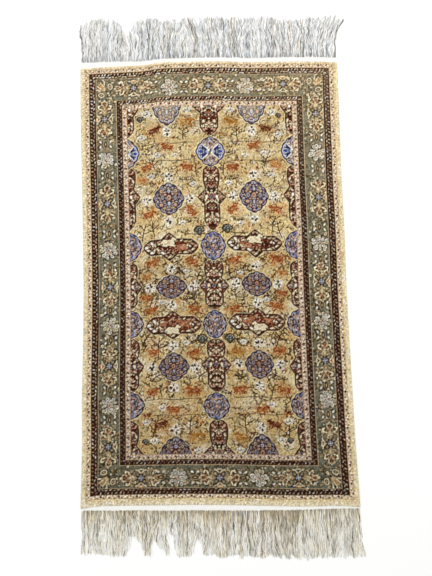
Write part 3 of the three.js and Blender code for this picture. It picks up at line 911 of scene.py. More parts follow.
borderRosettes = [  # columns: x, y
    (-372, 420), (-367, 95), (-362, -165), (-363, -437), (374, 430), (371, 110), (369, -155), (375, -418),
    (-140, 672), (129, 675), (-135, -675), (134, -677),
]
borderBuds = [  # columns: x, y, turn in degrees
    (-370, 478, 90), (-366, 364, 90), (-364, 155, 90), (-363, 36, 90), (-363, -112, 90), (-361, -216, 90),
    (-362, -384, 90), (-363, -483, 90), (375, 486, 90), (375, 374, 90), (371, 167, 90), (372, 56, 90),
    (370, -103, 90), (369, -204, 90), (371, -372, 90), (372, -468, 90), (-196, 676, 0), (-88, 672, 0),
    (76, 674, 0), (186, 678, 0), (-192, -674, 0), (-78, -676, 0), (80, -677, 0), (190, -676, 0),
]
borderCorners = [(-374, 682), (378, 684), (-374, -678), (376, -678)]  # columns: x, y
wholeChart = (slice(None), slice(None))


def bandDepth(row):  # how far outside a band's rectangle each knot is
    wide = np.abs(chartX)[None, :] - row["side"]
    high = np.maximum(chartY - row["head"], row["foot"] - chartY)[:, None]
    return np.maximum(wide, high)


def runAlong(row):  # distance along a band and inwards from its rim
    side = row["side"] - np.abs(chartX)[None, :]
    end = np.minimum(row["head"] - chartY, chartY - row["foot"])[:, None]
    along = np.where(side < end, chartY[:, None], chartX[None, :])
    return along, np.minimum(side, end)


scrollSet = {  # one repeat of a guard's sprays: along in repeats, across in half widths of the band
    "sprays": [(-0.25, 0.42), (0.25, -0.42)],
    "comma": [(-3.2, -2.0), (-0.6, 0.6), (2.4, 1.2)],  # millimetres
    "slip": 2.0,
}


scrollGuards = [  # spacing, strength and girth of the commas: left, head, right, foot
    {"band": "dark guard", "width": 22.8, "repeats": (13, 11, 13, 13),
     "strong": (0.94, 1.0, 0.8, 0.76), "girth": (1.1, 1.4, 1.0, 1.0)},
    {"band": "inner dark guard", "width": 20, "repeats": (14, 11, 14, 13),
     "strong": (0.58, 1.0, 0.62, 0.7), "girth": (0.8, 1.3, 0.8, 0.9)},
]
dottedGuards = [  # flecks: dye, spacing, offset, place across in widths, share
    {"band": "outer guard", "width": 15, "pitch": 60, "dot": 3.6,
     "flecks": [("ivory", 10, 0, 0.24, 0.6), ("cream", 9, 5, -0.24, 0.6), ("brown", 20, 3, 0.2, 0.6),
                ("ivory", 15, 3, 0, 0.65), ("chestnut", 20, 12, -0.2, 0.66)]},
    {"band": "inner guard", "width": 16, "pitch": 31, "dot": 3.0,
     "flecks": [("ivory", 11, 0, 0.24, 0.65), ("cream", 9, 5, -0.24, 0.65), ("chestnut", 31, 3, 0.2, 0.75),
                ("brown", 15.5, 9, -0.22, 0.7), ("ivory", 13, 3, 0, 0.65)]},
]


def scrollGuard(cloth, row, look):  # two staggered rows of commas, worn pale on near black
    across = row["side"] - look["width"] / 2
    top = row["head"] - look["width"] / 2
    low = row["foot"] + look["width"] / 2
    corners = [(-across, low), (-across, top), (across, top), (across, low), (-across, low)]
    for run, ((x0, y0), (x1, y1)) in enumerate(zip(corners, corners[1:])):
        turn = math.atan2(y1 - y0, x1 - x0)
        reach = math.hypot(x1 - x0, y1 - y0)
        step = reach / round(reach / look["repeats"][run])
        for share in np.arange(step / 2, reach, step):
            for a, b in scrollSet["sprays"]:
                slip = chance.uniform(-scrollSet["slip"], scrollSet["slip"], 2)
                lean = turn + math.copysign(0.5, b) + chance.uniform(-0.5, 0.5)
                aside = b * look["width"] / 2 + slip[1]
                px, py = onMotif((x0, y0, turn), share + a * step + slip[0], aside)
                tint = ("cream", "sand", "ivory", "rose")[chance.integers(0, 4)]
                worn = look["strong"][run] * chance.uniform(0.3, 1.0)
                tieLine(cloth, (px, py, lean), scrollSet["comma"], look["girth"][run], tint, worn)


def dottedGuard(cloth, row, look):  # pale guard with dark dots and small flecks
    along, inward = runAlong(row)
    width = look["width"]
    dot = look["dot"]
    middle = inward - width / 2
    inBand = bandDepth(row)
    ring = np.maximum(inBand, -(inBand + width))
    for colour, step, off, at, share in look["flecks"]:
        cell = np.mod(along + off, step) - step / 2
        fleck = np.hypot(cell / 1.5, middle - at * width) - 2.2
        worn = share * (1 + 0.5 * np.clip(mottle(13)[..., 0], -1, 1))
        tie(cloth, wholeChart, np.maximum(ring, fleck), colour, worn)
    cell = np.mod(along, look["pitch"]) - look["pitch"] / 2
    tie(cloth, wholeChart, np.maximum(ring, np.hypot(cell, middle) - dot), "umber", 0.9)
    tie(cloth, wholeChart, np.maximum(ring, np.hypot(np.abs(cell) - dot - 3.2, middle) - 1.8), "brick", 0.5)


def ringOf(count, away, start=0.0):  # points of a ring round a motif's middle
    angles = [(k + start) * 2 * math.pi / count for k in range(count)]
    return [(away * math.cos(angle), away * math.sin(angle)) for angle in angles]


def borderFlower(cloth, x, y, turn, outward):  # grey-blue flower between two tan lotus fans
    pick = np.random.default_rng(int(abs(x) * 3 + abs(y)))
    place = (x, y, math.radians(turn))
    for way in (-1, 1):
        px, py = onMotif(place, way * 42, 0)
        tieOval(cloth, px, py, 19, 24, "brown", place[2], 0.3)
        px, py = onMotif(place, way * 31, 0)
        tieOval(cloth, px, py, 15, 10, "tan", place[2], 0.9)
        tieOval(cloth, px, py, 9, 5, "cream", place[2], 0.5)
        for side in (-1, 1):
            for tipA, tipB, petal in ((32, 26, "tan"), (49, 23, "cream"), (61, 9, "sand")):
                a = way * (tipA + pick.uniform(-2, 2))
                b = side * (tipB + pick.uniform(-2, 2))
                curl = [(a * 0.75, b * 0.5), (a * 0.84, b * 0.9), (a, b), (a + way * 2, b - side * 5)]
                tieLine(cloth, place, curl, 2.6, petal, 0.9)
                tieDots(cloth, place, [(a - way * 5, b - side * 5)], 2.4, "umber", 0.8)
            for n in range(16):
                a = way * pick.uniform(20, 64)
                b = side * pick.uniform(1, 25) * min(1, abs(a) / 40)
                px, py = onMotif(place, a, b)
                petal = ("cream", "umber", "tan", "brown", "sand", "umber", "cream", "olive")[n % 8]
                tieOval(cloth, px, py, pick.uniform(2, 4.2), 1.5, petal, pick.uniform(0, 3), 0.8)
            tieDots(cloth, place, [(way * 42, side * 8)], 4.4, "chestnut", 0.9)
            tieDots(cloth, place, [(way * 43, side * 9)], 1.8, "peach", 0.8)
            arch = [(way * 3, side * 17), (way * 9, side * 24), (way * 17, side * 26)]
            tieLine(cloth, place, arch, 2.0, "cream", 0.75)
            tieDots(cloth, place, [(way * 78, side * 13), (way * 72, side * 24)], 2.4, "sand", 0.7)
        tieDots(cloth, place, [(way * 50, 0)], 3.6, "rust", 0.8)
        tieDots(cloth, place, [(way * 68, 0)], 3.2, "cream", 0.6)
    px, py = onMotif(place, 0, outward * 27)
    lip = ((12, 6, "umber", 0.45), (10.5, 4.4, "peach", 0.8), (6, 1.8, "cream", 0.9))
    tieNest(cloth, px, py, place[2], lip)
    px, py = onMotif(place, 0, -outward * 28)
    tieOval(cloth, px, py, 9, 2.2, "cream", place[2], 0.7)
    tieDots(cloth, place, [(0, 0)], 18, "umber", 0.35)
    tieDots(cloth, place, ringOf(8, 16), 3.4, "tan", 0.75)
    tieDots(cloth, place, ringOf(8, 12.6, 0.5), 3.0, "soot", 0.8)
    tieDots(cloth, place, [(0, 0)], 9.4, "slate", 0.9)
    tieDots(cloth, place, [(5, 1), (-5, -1), (-1, 5), (1, -5)], 3.0, "pearl", 0.6)
    tieDots(cloth, place, [(3, 3.4), (-3, -3.4), (3.4, -3), (-3.4, 3)], 1.8, "navy", 0.8)
    tieDots(cloth, place, [(0, 0)], 1.8, "cream", 0.7)


def borderRosette(cloth, x, y):  # full flower head of pale curled petals
    pick = np.random.default_rng(int(abs(x) + abs(y) * 3))
    place = (x, y, 0.0)
    tieDots(cloth, place, [(0, 0)], 29, "darkSage", 0.45)
    for count, away, long in ((12, 23, 7.0), (8, 13.5, 6.2), (4, 6, 4.6)):
        for k in range(count):
            angle = k * 2 * math.pi / count + pick.uniform(-0.2, 0.2)
            reach = away + pick.uniform(-2.5, 2.5)
            px, py = onMotif(place, reach * math.cos(angle), reach * math.sin(angle))
            size = long * pick.uniform(0.8, 1.15)
            lean = angle + pick.uniform(-0.7, 0.7)
            petal = ("ivory", "ivory", "cream", "ivory")[pick.integers(0, 4)]
            tieOval(cloth, px, py, size + 1.4, size * 0.76 + 1.2, "darkSage", lean, 0.7)
            tieOval(cloth, px, py, size, size * 0.76, petal, lean, pick.uniform(0.6, 0.9))
            curl = ("moss", "olive", "umber", "brown", "sage", "darkSage")[pick.integers(0, 6)]
            curlX = px + pick.uniform(-1.6, 1.6)
            curlY = py + pick.uniform(-1.6, 1.6)
            curlTurn = lean + pick.uniform(-0.5, 0.5)
            tieOval(cloth, curlX, curlY, size * 0.52, size * 0.36, curl, curlTurn, 0.9)
            tieOval(cloth, curlX, curlY, size * 0.26, size * 0.16, petal, lean, 0.7)
    tieDots(cloth, place, [(0, 0)], 4.4, "rose", 0.9)
    tieDots(cloth, place, [(0, 0)], 2.2, "umber")


def borderBud(cloth, x, y, turn):  # dark bud between four pale petals
    place = (x, y, math.radians(turn))
    for way in (-1, 1):
        for side in (-1, 1):
            px, py = onMotif(place, way * 9, side * 18)
            lean = place[2] + 0.5 * way * side
            tieNest(cloth, px, py, lean, ((6.5, 4.6, "darkSage", 0.5), (5.2, 3.2, "ivory", 0.75)))
            tieLine(cloth, place, [(way * 19, side * 10), (way * 25, side * 20)], 1.4, "sand", 0.6)
            tieDots(cloth, place, [(way * 3, side * 28)], 2.2, "tan", 0.7)
    bud = ((14, 8, "sand", 0.55), (12.5, 6.2, "brown", 0.95), (8, 3.4, "olive", 0.9),
           (4.5, 1.4, "sand", 0.85))
    tieNest(cloth, *place, bud)


def borderCorner(cloth, x, y):  # tan palmette and two curled leaves on the corner's diagonal
    place = (x, y, math.atan2(math.copysign(1, y), math.copysign(1, x)))
    for side in (-1, 1):
        px, py = onMotif(place, -10, side * 22)
        curl = ((13.5, 10.5, "umber", 0.35), (11.5, 8.6, "cream", 0.8), (8.4, 5.6, "darkSage", 0.9),
                (3.6, 2.2, "sand", 0.8))
        tieNest(cloth, px, py, place[2] + 0.5 * side, curl)
        tieLine(cloth, place, [(8, side * 11), (18, side * 21), (30, side * 22)], 2.2, "cream", 0.75)
        tieDots(cloth, place, [(14, side * 28), (-28, side * 8)], 2.6, "umber", 0.7)
        tieDots(cloth, place, [(30, side * 32), (-26, side * 34)], 3.4, "teal", 0.6)
    px, py = onMotif(place, 9, 0)
    tieNest(cloth, px, py, place[2], ((20, 13, "umber", 0.4), (18.4, 11.4, "tan", 0.95)))
    for side in (-1, 1):
        tieLine(cloth, place, [(-4, side * 2), (10, side * 7), (24, side * 8)], 1.7, "cream", 0.7)
        tieDots(cloth, place, [(4, side * 6), (18, side * 3)], 1.8, "brown", 0.8)
    tieLine(cloth, place, [(-8, 0), (10, 1), (26, 0)], 1.6, "apricot", 0.6)
    tieDots(cloth, place, [(-12, 0)], 4.0, "brown", 0.8)
    tieDots(cloth, place, [(-22, 0)], 3.2, "cream", 0.8)


marginSet = {  # plain pile outside the outermost guard
    "dye": "#D8C699",
    "wear": [  # columns: grain, dye, share
        (7, "goldLeaf", 0.35), (11, "ivory", 0.5), (17, "rust", 0.22), (5, "cream", 0.3),
    ],
    "paleSide": (444, 12),  # paler rims: where each starts and over how far
    "paleFoot": (744, 16),
    "paleHead": (752, 10),
}
borderSprigs = [  # columns: count, low corner, high corner
    (430, (-400, -706), (-333, 716)),
    (430, (333, -706), (400, 716)),
    (300, (-400, 642), (400, 716)),
    (300, (-400, -706), (400, -638)),
]


def fromRim(distance, rim):  # nought up to a rim's start, one at its end
    return np.clip((distance - rim[0]) / rim[1], 0, 1)


def plainMargin():
    cloth = np.empty((len(chartY), len(chartX), 3))
    cloth[:] = linearOf(marginSet["dye"])
    for grain, tint, share in marginSet["wear"]:
        worn = np.clip(mottle(grain)[..., 0] - 0.3, 0, 1)
        cloth += (share * worn)[..., None] * (dye[tint] - cloth)
    sideRim = fromRim(np.abs(chartX), marginSet["paleSide"])[None, :]
    footRim = fromRim(-chartY, marginSet["paleFoot"])[:, None]
    cloth += (0.38 * np.clip(sideRim + footRim, 0, 1))[..., None] * (dye["ivory"] - cloth)
    headRim = fromRim(chartY, marginSet["paleHead"])[:, None]
    cloth += 0.4 * headRim[..., None] * (dye["ivory"] - cloth)
    gilt = headRim * (0.14 + 0.14 * np.sin(chartX / 60))[None, :]
    cloth += gilt[..., None] * (dye["amber"] - cloth)
    return cloth


def knotFrame():
    cloth = plainMargin()
    named = {row["band"]: row for row in bands}
    for row in bands:
        tie(cloth, wholeChart, bandDepth(row), row["dye"])
    stems = ("darkSage", "olive", "moss", "darkSage")
    petals = ("cream", "tan", "sage", "sand", "teal", "olive", "sage", "cream", "tan")
    for count, low, high in borderSprigs:
        sprigs(cloth, count, low, high, stems, petals)
    for x, y, turn in borderFlowers:
        outer = x < 0 if turn else y > 0
        borderFlower(cloth, x, y, turn, 1 if outer else -1)
    for x, y in borderRosettes:
        borderRosette(cloth, x, y)
    for row in borderBuds:
        borderBud(cloth, *row)
    for x, y in borderCorners:
        borderCorner(cloth, x, y)
    for row in bands[4:7]:  # the inner bands again, over what the border's leaves reach
        tie(cloth, wholeChart, bandDepth(row), row["dye"])
    for row, inner in ((bands[2], bands[3]), (bands[1], bands[2])):  # and the outer ones
        tie(cloth, wholeChart, np.maximum(bandDepth(row), -bandDepth(inner)), row["dye"])
    for look in scrollGuards:
        scrollGuard(cloth, named[look["band"]], look)
    for look in dottedGuards:
        dottedGuard(cloth, named[look["band"]], look)
    rise = np.clip((chartY[:, None] + 100) / 850, 0, 1)
    paintedSheen = 0.10 * rise ** 2 + 0.1 * rise * np.clip(chartX[None, :] / 400, 0, 1)
    cloth += paintedSheen[..., None] * (dye["sand"] - cloth)  # painted sheen: the nap paler towards the head and the upper right, where the light falls
    cloth *= 1 + 0.17 * mottle(3.4) + 0.06 * mottle(9)
    return cloth


def blurred(cloth, reach):  # plain running mean, so many knots to each side
    for axis in (0, 1):
        pad = [(0, 0), (0, 0), (0, 0)]
        pad[axis] = (reach + 1, reach)
        total = np.cumsum(np.pad(cloth, pad, mode="edge"), axis=axis)
        size = 2 * reach + 1
        last = total.shape[axis]
        ahead = np.take(total, range(size, last), axis)
        behind = np.take(total, range(last - size), axis)
        cloth = (ahead - behind) / size
    return cloth


def knotChart():
    cloth = knotFrame()
    inside = np.clip(0.5 - bandDepth(bands[-1]) / chartSet["softEdge"], 0, 1)[..., None]
    cloth += inside * (knotField() - cloth)
    headShare = np.clip(chartY / 1250 + 0.5, 0, 1)[:, None, None]
    figured = np.clip(0.5 - bandDepth(bands[1]) / 12, 0, 1)[..., None]
    cloth *= 1 - (1 - headShare) * (0.14 + 0.22 * figured)  # painted shade: darker towards the foot, most inside the frame, as the silk nap and the falling light make it
    soft = blurred(cloth, chartSet["crispReach"])
    cloth = cloth + chartSet["crisp"] * (cloth - soft)  # clipped outlines stand out
    cloth = np.clip(cloth, dye["walnut"], 1)  # and the darkest stay brown
    rows = chance.normal(0, 0.022, (len(chartY), 1, 1))  # dye lots change from row to row
    knots = chance.normal(0, 0.12, (len(chartY), len(chartX), 1))
    return np.clip(cloth * (1 + rows + knots), 0.002, 1)


chart = knotChart()
print("knot chart drawn", chart.shape)


# Pieces: all are worked out in millimetres and then set down in the part's frame, in metres
def setDown(x, y, z):
    return np.stack([(x + shiftX) / perMetre, (y + shiftY) / perMetre, z / perMetre + 0 * x], axis=-1)


def chartAt(x, y):  # colour of the chart at straight-rug millimetres, one knot's neighbours mixed in
    lastX = len(chartX) - 1
    lastY = len(chartY) - 1
    cols = np.clip(np.rint((x / rugSize["width"] + 0.5) * lastX).astype(int), 1, lastX - 1)
    rows = np.clip(np.rint((y / rugSize["length"] + 0.5) * lastY).astype(int), 1, lastY - 1)
    total = 2 * chart[rows, cols]
    for stepX, stepY in ((1, 0), (-1, 0), (0, 1), (0, -1)):
        total = total + 0.5 * chart[rows + stepY, cols + stepX]
    return total / 4


def readPoints(piece):
    points = np.empty(len(piece.data.vertices) * 3)
    piece.data.vertices.foreach_get("co", points)
    return points.reshape(-1, 3)


def writePoints(piece, points):
    piece.data.vertices.foreach_set("co", np.ascontiguousarray(points, float).ravel())
    piece.data.update()


def giveColours(piece, name, colours, plain="#FFFFFF"):  # linear; points past the list take the plain dye
    layer = piece.data.color_attributes.new(name, "FLOAT_COLOR", "POINT")
    values = np.ones((len(piece.data.vertices), 4))
    values[:, :3] = linearOf(plain)
    values[:len(colours), :3] = colours
    layer.data.foreach_set("color", values.ravel())


def newGrid(name, columns, rows):  # flat grid from 0 to 1 both ways
    deselectAll()
    bpy.ops.mesh.primitive_grid_add(x_subdivisions=columns, y_subdivisions=rows, size=1, location=(0, 0, 0))
    piece = bpy.context.object
    piece.name = name
    piece.data.name = name
    return piece, readPoints(piece)[:, 0] + 0.5, readPoints(piece)[:, 1] + 0.5


def pickOnly(piece):
    deselectAll()
    piece.select_set(True)
    bpy.context.view_layer.objects.active = piece


def openMesh(piece):  # edit mode, with everything selected
    pickOnly(piece)
    bpy.ops.object.mode_set(mode="EDIT")
    bpy.ops.mesh.select_all(action="SELECT")


def shutMesh():  # all faces outwards, and out of edit mode
    bpy.ops.mesh.select_all(action="SELECT")
    bpy.ops.mesh.normals_make_consistent(inside=False)
    bpy.ops.object.mode_set(mode="OBJECT")


def closeGrid(piece, depth, level=None):  # walls round a grid's rim and a lid, in metres
    topCount = len(piece.data.vertices)
    openMesh(piece)
    bpy.ops.mesh.region_to_loop()
    bpy.ops.mesh.extrude_edges_move(TRANSFORM_OT_translate={"value": (0, 0, depth)})
    bpy.ops.mesh.edge_face_add()
    shutMesh()
    if level is not None:  # the lid lies even
        points = readPoints(piece)
        points[topCount:, 2] = level
        writePoints(piece, points)


# Shares of a texture map
mapSet = {"edge": 0.004, "broad": 0.97, "along": 0.99, "rimAt": 0.985, "rim": 0.01}


def layFlatMap(piece, faceUp):  # own texture map: the broad face, and a narrow rim for walls and lid
    mesh = piece.data
    points = readPoints(piece)
    low = points.min(axis=0)
    share = (points - low) / np.maximum(points.max(axis=0) - low, 1e-6)
    normals = np.empty(len(mesh.polygons) * 3)
    mesh.polygons.foreach_get("normal", normals)
    sizes = np.empty(len(mesh.polygons), int)
    mesh.polygons.foreach_get("loop_total", sizes)
    broad = np.repeat((normals.reshape(-1, 3)[:, 2] * faceUp > 0.6) & (sizes < 8), sizes)
    corner = np.empty(len(mesh.loops), int)
    mesh.loops.foreach_get("vertex_index", corner)
    face = mapSet["edge"] + mapSet["broad"] * share[corner, 0]
    rim = mapSet["rimAt"] + mapSet["rim"] * share[corner, 2]
    along = mapSet["edge"] + mapSet["along"] * share[corner, 1]
    layer = mesh.uv_layers.new(name="OFBake")
    layer.data.foreach_set("uv", np.stack([np.where(broad, face, rim), along], axis=-1).ravel())


def finishPiece(piece, material, angle=40):
    piece.data.materials.clear()
    piece.data.materials.append(material)
    pickOnly(piece)
    bpy.ops.object.shade_smooth_by_angle(angle=math.radians(angle))
    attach(piece, "root")
    return piece


# Materials
def setShader(shader, values):
    for name, value in values.items():
        shader.inputs[name].default_value = value


def newMaterial(name, finish):
    material = bpy.data.materials.new(name)
    material.use_nodes = True
    setShader(material.node_tree.nodes["Principled BSDF"], finish)
    return material


def clothMaterial(name, layer, weave, look, finish):  # dyed colour, uneven dye and a fine relief
    material = newMaterial(name, finish)
    tree = material.node_tree
    shader = tree.nodes["Principled BSDF"]
    place = {"Vector": addNode(tree, "ShaderNodeTexCoord").outputs["Object"]}
    colour = addNode(tree, "ShaderNodeAttribute", {"attribute_name": layer})
    stain = addNode(tree, "ShaderNodeTexNoise", {"Scale": perMetre / look["grain"], "Detail": 3}, place)
    uneven = {"To Min": 1 - look["uneven"], "To Max": 1 + look["uneven"]}
    depth = addNode(tree, "ShaderNodeMapRange", uneven, {"Value": stain.outputs["Fac"]})
    scale = {"Scale": depth.outputs["Result"]}
    shade = addNode(tree, "ShaderNodeVectorMath", {"operation": "SCALE"}, scale)
    tree.links.new(colour.outputs["Color"], shade.inputs[0])
    tree.links.new(shade.outputs["Vector"], shader.inputs["Base Color"])
    kind, settings, socket = weave
    relief = addNode(tree, kind, settings, place).outputs[socket]
    fine = {"Strength": 0.5, "Distance": look["relief"] / perMetre}
    bump = addNode(tree, "ShaderNodeBump", fine, {"Height": relief})
    tree.links.new(bump.outputs["Normal"], shader.inputs["Normal"])
    return material


# Cut silk pile: soft broad highlight, tuft tips that catch the light one by one
silkPile = clothMaterial(
    "cut silk pile", "knotColour",
    ("ShaderNodeTexVoronoi", {"Scale": perMetre / 2.2}, "Distance"),  # tufts about 2.2 mm apart
    {"grain": 3.0, "uneven": 0.30, "relief": 0.35},
    {"Roughness": 0.68, "Specular IOR Level": 0.03})
# Back of the knotting: the same design, dull, in even ribs
knottedCloth = clothMaterial(
    "knotted silk back", "knotColour",
    ("ShaderNodeTexWave", {"Scale": 227.16421, "bands_direction": "Y"}, "Fac"),
    {"grain": 5.0, "uneven": 0.18, "relief": 0.25},
    {"Roughness": 0.85, "Specular IOR Level": 0.2})
# Weft-faced silk tapestry: tight white cross ribs
crossRibs = {"Scale": perMetre / 3.4 / 2, "bands_direction": "Y", "Distortion": 1.2, "Detail": 2}
flatWeave = clothMaterial(
    "flat-woven silk", "threadColour",
    ("ShaderNodeTexWave", crossRibs, "Fac"),
    {"grain": 6.0, "uneven": 0.10, "relief": 0.30},
    {"Roughness": 0.7, "Specular IOR Level": 0.25, "Sheen Weight": 0.1})
# Overcast silk: wrapped thread over the side cords
wrappedSilk = clothMaterial(
    "overcast silk thread", "threadColour",
    ("ShaderNodeTexWave", {"Scale": perMetre / 1.2 / 2, "bands_direction": "Y", "Distortion": 0.8}, "Fac"),
    {"grain": 8.0, "uneven": 0.16, "relief": 0.2},
    {"Roughness": 0.6, "Specular IOR Level": 0.3, "Sheen Weight": 0.1})
# Bare silk warp: loose, lightly soiled threads with a silky gleam along them
looseWarp = clothMaterial(
    "bare silk warp", "threadColour",
    ("ShaderNodeTexNoise", {"Scale": perMetre / 1.5, "Detail": 2}, "Fac"),
    {"grain": 7.0, "uneven": 0.16, "relief": 0.15},
    {"Roughness": 0.5, "Specular IOR Level": 0.3, "Sheen Weight": 0.1})
print("materials mixed")

# Knotted back: foundation of warps and wefts, lying on the floor
backSet = {
    "columns": 112,
    "rows": 186,
    "floorGap": 0.05,
    "top": 3.3,
    "inset": 0.6,
    "grey": 0.3,  # share of grey in its dyes
    "dull": 0.72,
    "lidDye": "#D8C9A2",
}
knottedBack, shareX, shareY = newGrid("knottedBack", backSet["columns"], backSet["rows"])
straightX = (shareX - 0.5) * (rugSize["width"] - 2 * backSet["inset"])
straightY = (shareY - 0.5) * (rugSize["length"] - 2 * backSet["inset"])
writePoints(knottedBack, setDown(*laid(straightX, straightY), backSet["floorGap"]))
colours = chartAt(straightX, straightY)
colours = colours.mean(axis=1, keepdims=True) * backSet["grey"] + colours * (1 - backSet["grey"])
closeGrid(knottedBack, backSet["top"] / perMetre)
giveColours(knottedBack, "knotColour", colours * backSet["dull"], backSet["lidDye"])
layFlatMap(knottedBack, -1)
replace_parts(finishPiece(knottedBack, knottedCloth), "pile_body")
print("knotted back woven", len(knottedBack.data.polygons), "faces")

# Pile: four lengthwise strips of cut tufts, so that none grows too heavy
pileSet = {
    "strips": 4,
    "tuftScatter": 0.10,
    "darkWear": 0.35,  # dyes darker than darkBelow wear down further
    "darkBelow": 0.25,
    "rimReach": 2.2,
    "ripple": 0.18,
    "wall": 1.2,
    "wallTuck": 0.3,  # how far the walls reach into the foundation
    "wallDye": "#CDBB8C",
    "seed": 51,
}
pileChance = np.random.default_rng(pileSet["seed"])
stripColumns = (len(chartX) - 1) // 2 // pileSet["strips"]
for number in range(pileSet["strips"]):
    strip, shareX, shareY = newGrid("silkPile" + str(number + 1), stripColumns, (len(chartY) - 1) // 2)
    straightX = ((shareX + number) / pileSet["strips"] - 0.5) * rugSize["width"]
    straightY = (shareY - 0.5) * rugSize["length"]
    colours = chartAt(straightX, straightY)
    rimGap = np.minimum(halfWidth - np.abs(straightX), halfLength - np.abs(straightY))
    wornDown = pileSet["darkWear"] * np.clip(1 - colours.mean(axis=1) / pileSet["darkBelow"], 0, 1)
    rounded = rugSize["edgeRound"] * np.clip(1 - rimGap / pileSet["rimReach"], 0, 1) ** 2
    height = rugSize["pileTop"] - wornDown - rounded
    height -= np.abs(pileChance.normal(0, pileSet["tuftScatter"], len(height)))
    swell = np.sin(straightX / 61 + np.sin(straightY / 83)) * np.cos(straightY / 97)
    height -= pileSet["ripple"] * (1 + swell) / 2
    writePoints(strip, setDown(*laid(straightX, straightY), height))
    closeGrid(strip, -pileSet["wall"] / perMetre, (rugSize["pileFoot"] - pileSet["wallTuck"]) / perMetre)
    giveColours(strip, "knotColour", colours, pileSet["wallDye"])
    layFlatMap(strip, 1)
    finishPiece(strip, silkPile, 50)

# Selvedges: silk overcast round the outermost warps of both sides
selvedgeSet = {
    "radius": 2.3,
    "wrap": 3.0,
    "wrapDepth": 0.28,
    "lift": 2.5,
    "around": 8,
    "inset": 1.2,
    "endGap": 1.5,
    "dye": "#DCCB9C",
}
rings = int(rugSize["length"] / selvedgeSet["wrap"]) * 2
for name, side in (("selvedgeLeft", -1), ("selvedgeRight", 1)):
    cordPiece, shareX, shareY = newGrid(name, selvedgeSet["around"], rings)
    turn = shareX * 2 * math.pi
    straightY = (shareY - 0.5) * (rugSize["length"] - 2 * selvedgeSet["endGap"])
    ring = np.rint(shareY * rings).astype(int)
    radius = selvedgeSet["radius"] - selvedgeSet["wrapDepth"] * (ring % 2)
    radius = radius * np.clip(np.minimum(ring, rings - ring) / 2, 0.3, 1)
    baseX, baseY = laid(np.full(len(turn), side * (halfWidth - selvedgeSet["inset"])), straightY)
    above = selvedgeSet["lift"] + radius * np.sin(turn)
    writePoints(cordPiece, setDown(baseX + radius * np.cos(turn), baseY, above))
    openMesh(cordPiece)
    bpy.ops.mesh.remove_doubles(threshold=0.00001)
    bpy.ops.mesh.fill_holes(sides=selvedgeSet["around"] + 1)
    shutMesh()
    tint = pileChance.uniform(0.86, 1.06, (len(cordPiece.data.vertices), 1))
    giveColours(cordPiece, "threadColour", np.clip(linearOf(selvedgeSet["dye"]) * tint, 0, 1))
    finishPiece(cordPiece, wrappedSilk, 60)
print("selvedges overcast")

# Fringes: how far each lock reaches past the strip, and how far its tip drifts sideways
fringeLines = {
    "head": {
        "across": [-457, -400, -358, -319, -291, -281, -262, -222, -150, -30, 95, 130, 200,
                   275, 330, 400, 457],
        "reach": [154, 167, 165, 150, 112, 110, 145, 164, 149, 156, 158, 157, 158, 148, 144, 153, 153],
        "drift": [7, 4, -3, -6, -6, 5, 7, 8, 3, -3, -8, 6, -4, -9, 5, 20, 30],
    },
    "foot": {
        "across": [-457, -400, -320, -298, -290, -271, -256, -249, -235, -223, -216, -206, -201,
                   -196, -190, -185, -180, -175, -170, -160, -150, -143, -115, -90, -83, -70,
                   -57, -43, 20, 190, 260, 457],
        "reach": [140, 143, 143, 140, 92, 98, 110, 140, 142, 137, 90, 88, 118, 122, 96, 138, 146,
                  138, 80, 70, 88, 142, 148, 144, 106, 100, 128, 146, 148, 150, 156, 153],
        "drift": [-4, 2, -5, -6, 3, 4, 3, 2, 0, -2, 0, 0, 2, 2, 0, 0, 0,
                  0, 0, 0, 0, 2, 0, -3, 0, 0, 2, 2, -2, 3, 2, 11],
    },
}
stripSet = {
    "columns": 380,
    "rows": 10,
    "top": 2.7,
    "tuck": 3.0,  # how far it starts inside the pile's edge
    "inset": 1.5,
    "wall": 2.2,
    "floorGap": 0.2,
    "soil": 0.16,  # along the pile
    "soilReach": 0.22,
    "dye": "#F4F3EE",
}
fringeSet = {
    "strands": 1500,
    "steps": 13,
    "sides": 3,
    "thick": 0.64,
    "bundle": 13.5,  # warps are knotted in bundles this wide
    "gather": 0.80,
    "locks": 140,
    "lockStart": 34,
    "rootTuck": 2.5,
    "curl": 2.6,
    "curlPitch": 210,
    "crimpPitch": 52,
    "lift": 2.4,
    "rise": 0.85,
    "dapple": 0.12,
    "dapplePitch": 5,
    "gleam": 0.26,
    "lanes": 150,  # threads side by side in the texture map
    "seed": 733,
}
fringeLooks = {
    "head": {
        "plies": [0.62, 1.12, 0.8],  # how light each thread of a cord is: painted shade, darker at the cord's edges
        "lock": (7, 26),
        "scatter": 7,
        "sway": 11.0,
        "swayPitch": 46,
        "strays": 0.3,
        "strayReach": 10.0,
        "crimp": 2.6,
        "frizz": 1.5,
        "shadeSlivers": 130,
        "underShade": 0.6,
        "soilReach": 0.16,
        "root": "#E8ECEF",
        "threads": ["#F6FBFF", "#EEF6FD", "#F2F8FD", "#F4F6F4", "#E6E0D6", "#E2E6EA",
                    "#F8FCFF", "#A8A298", "#F4F4F0", "#F4FAFF", "#F8FCFF", "#E2D8C8"],
    },
    "foot": {
        "plies": [0.74, 1.1],
        "lock": (7, 17),
        "scatter": 4,
        "sway": 4.6,
        "swayPitch": 28,
        "strays": 0.16,
        "strayReach": 7.0,
        "crimp": 2.0,
        "frizz": 0.9,
        "shadeSlivers": 110,
        "underShade": 0.66,
        "soilReach": 0.5,
        "root": "#CDBB95",
        "threads": ["#FDF8E8", "#F8F0DA", "#F0E6CE", "#FBF6E6", "#E4DAC2", "#FDFAEE",
                    "#FCF6E6", "#D2C8B2", "#A2967E"],
    },
}
threadShare = np.linspace(0, 1, fringeSet["steps"])[None, :]  # from root to tip


def evenly(pitch):  # places along a whole end and a little beyond
    return np.arange(-halfWidth - 60, halfWidth + 61, pitch)


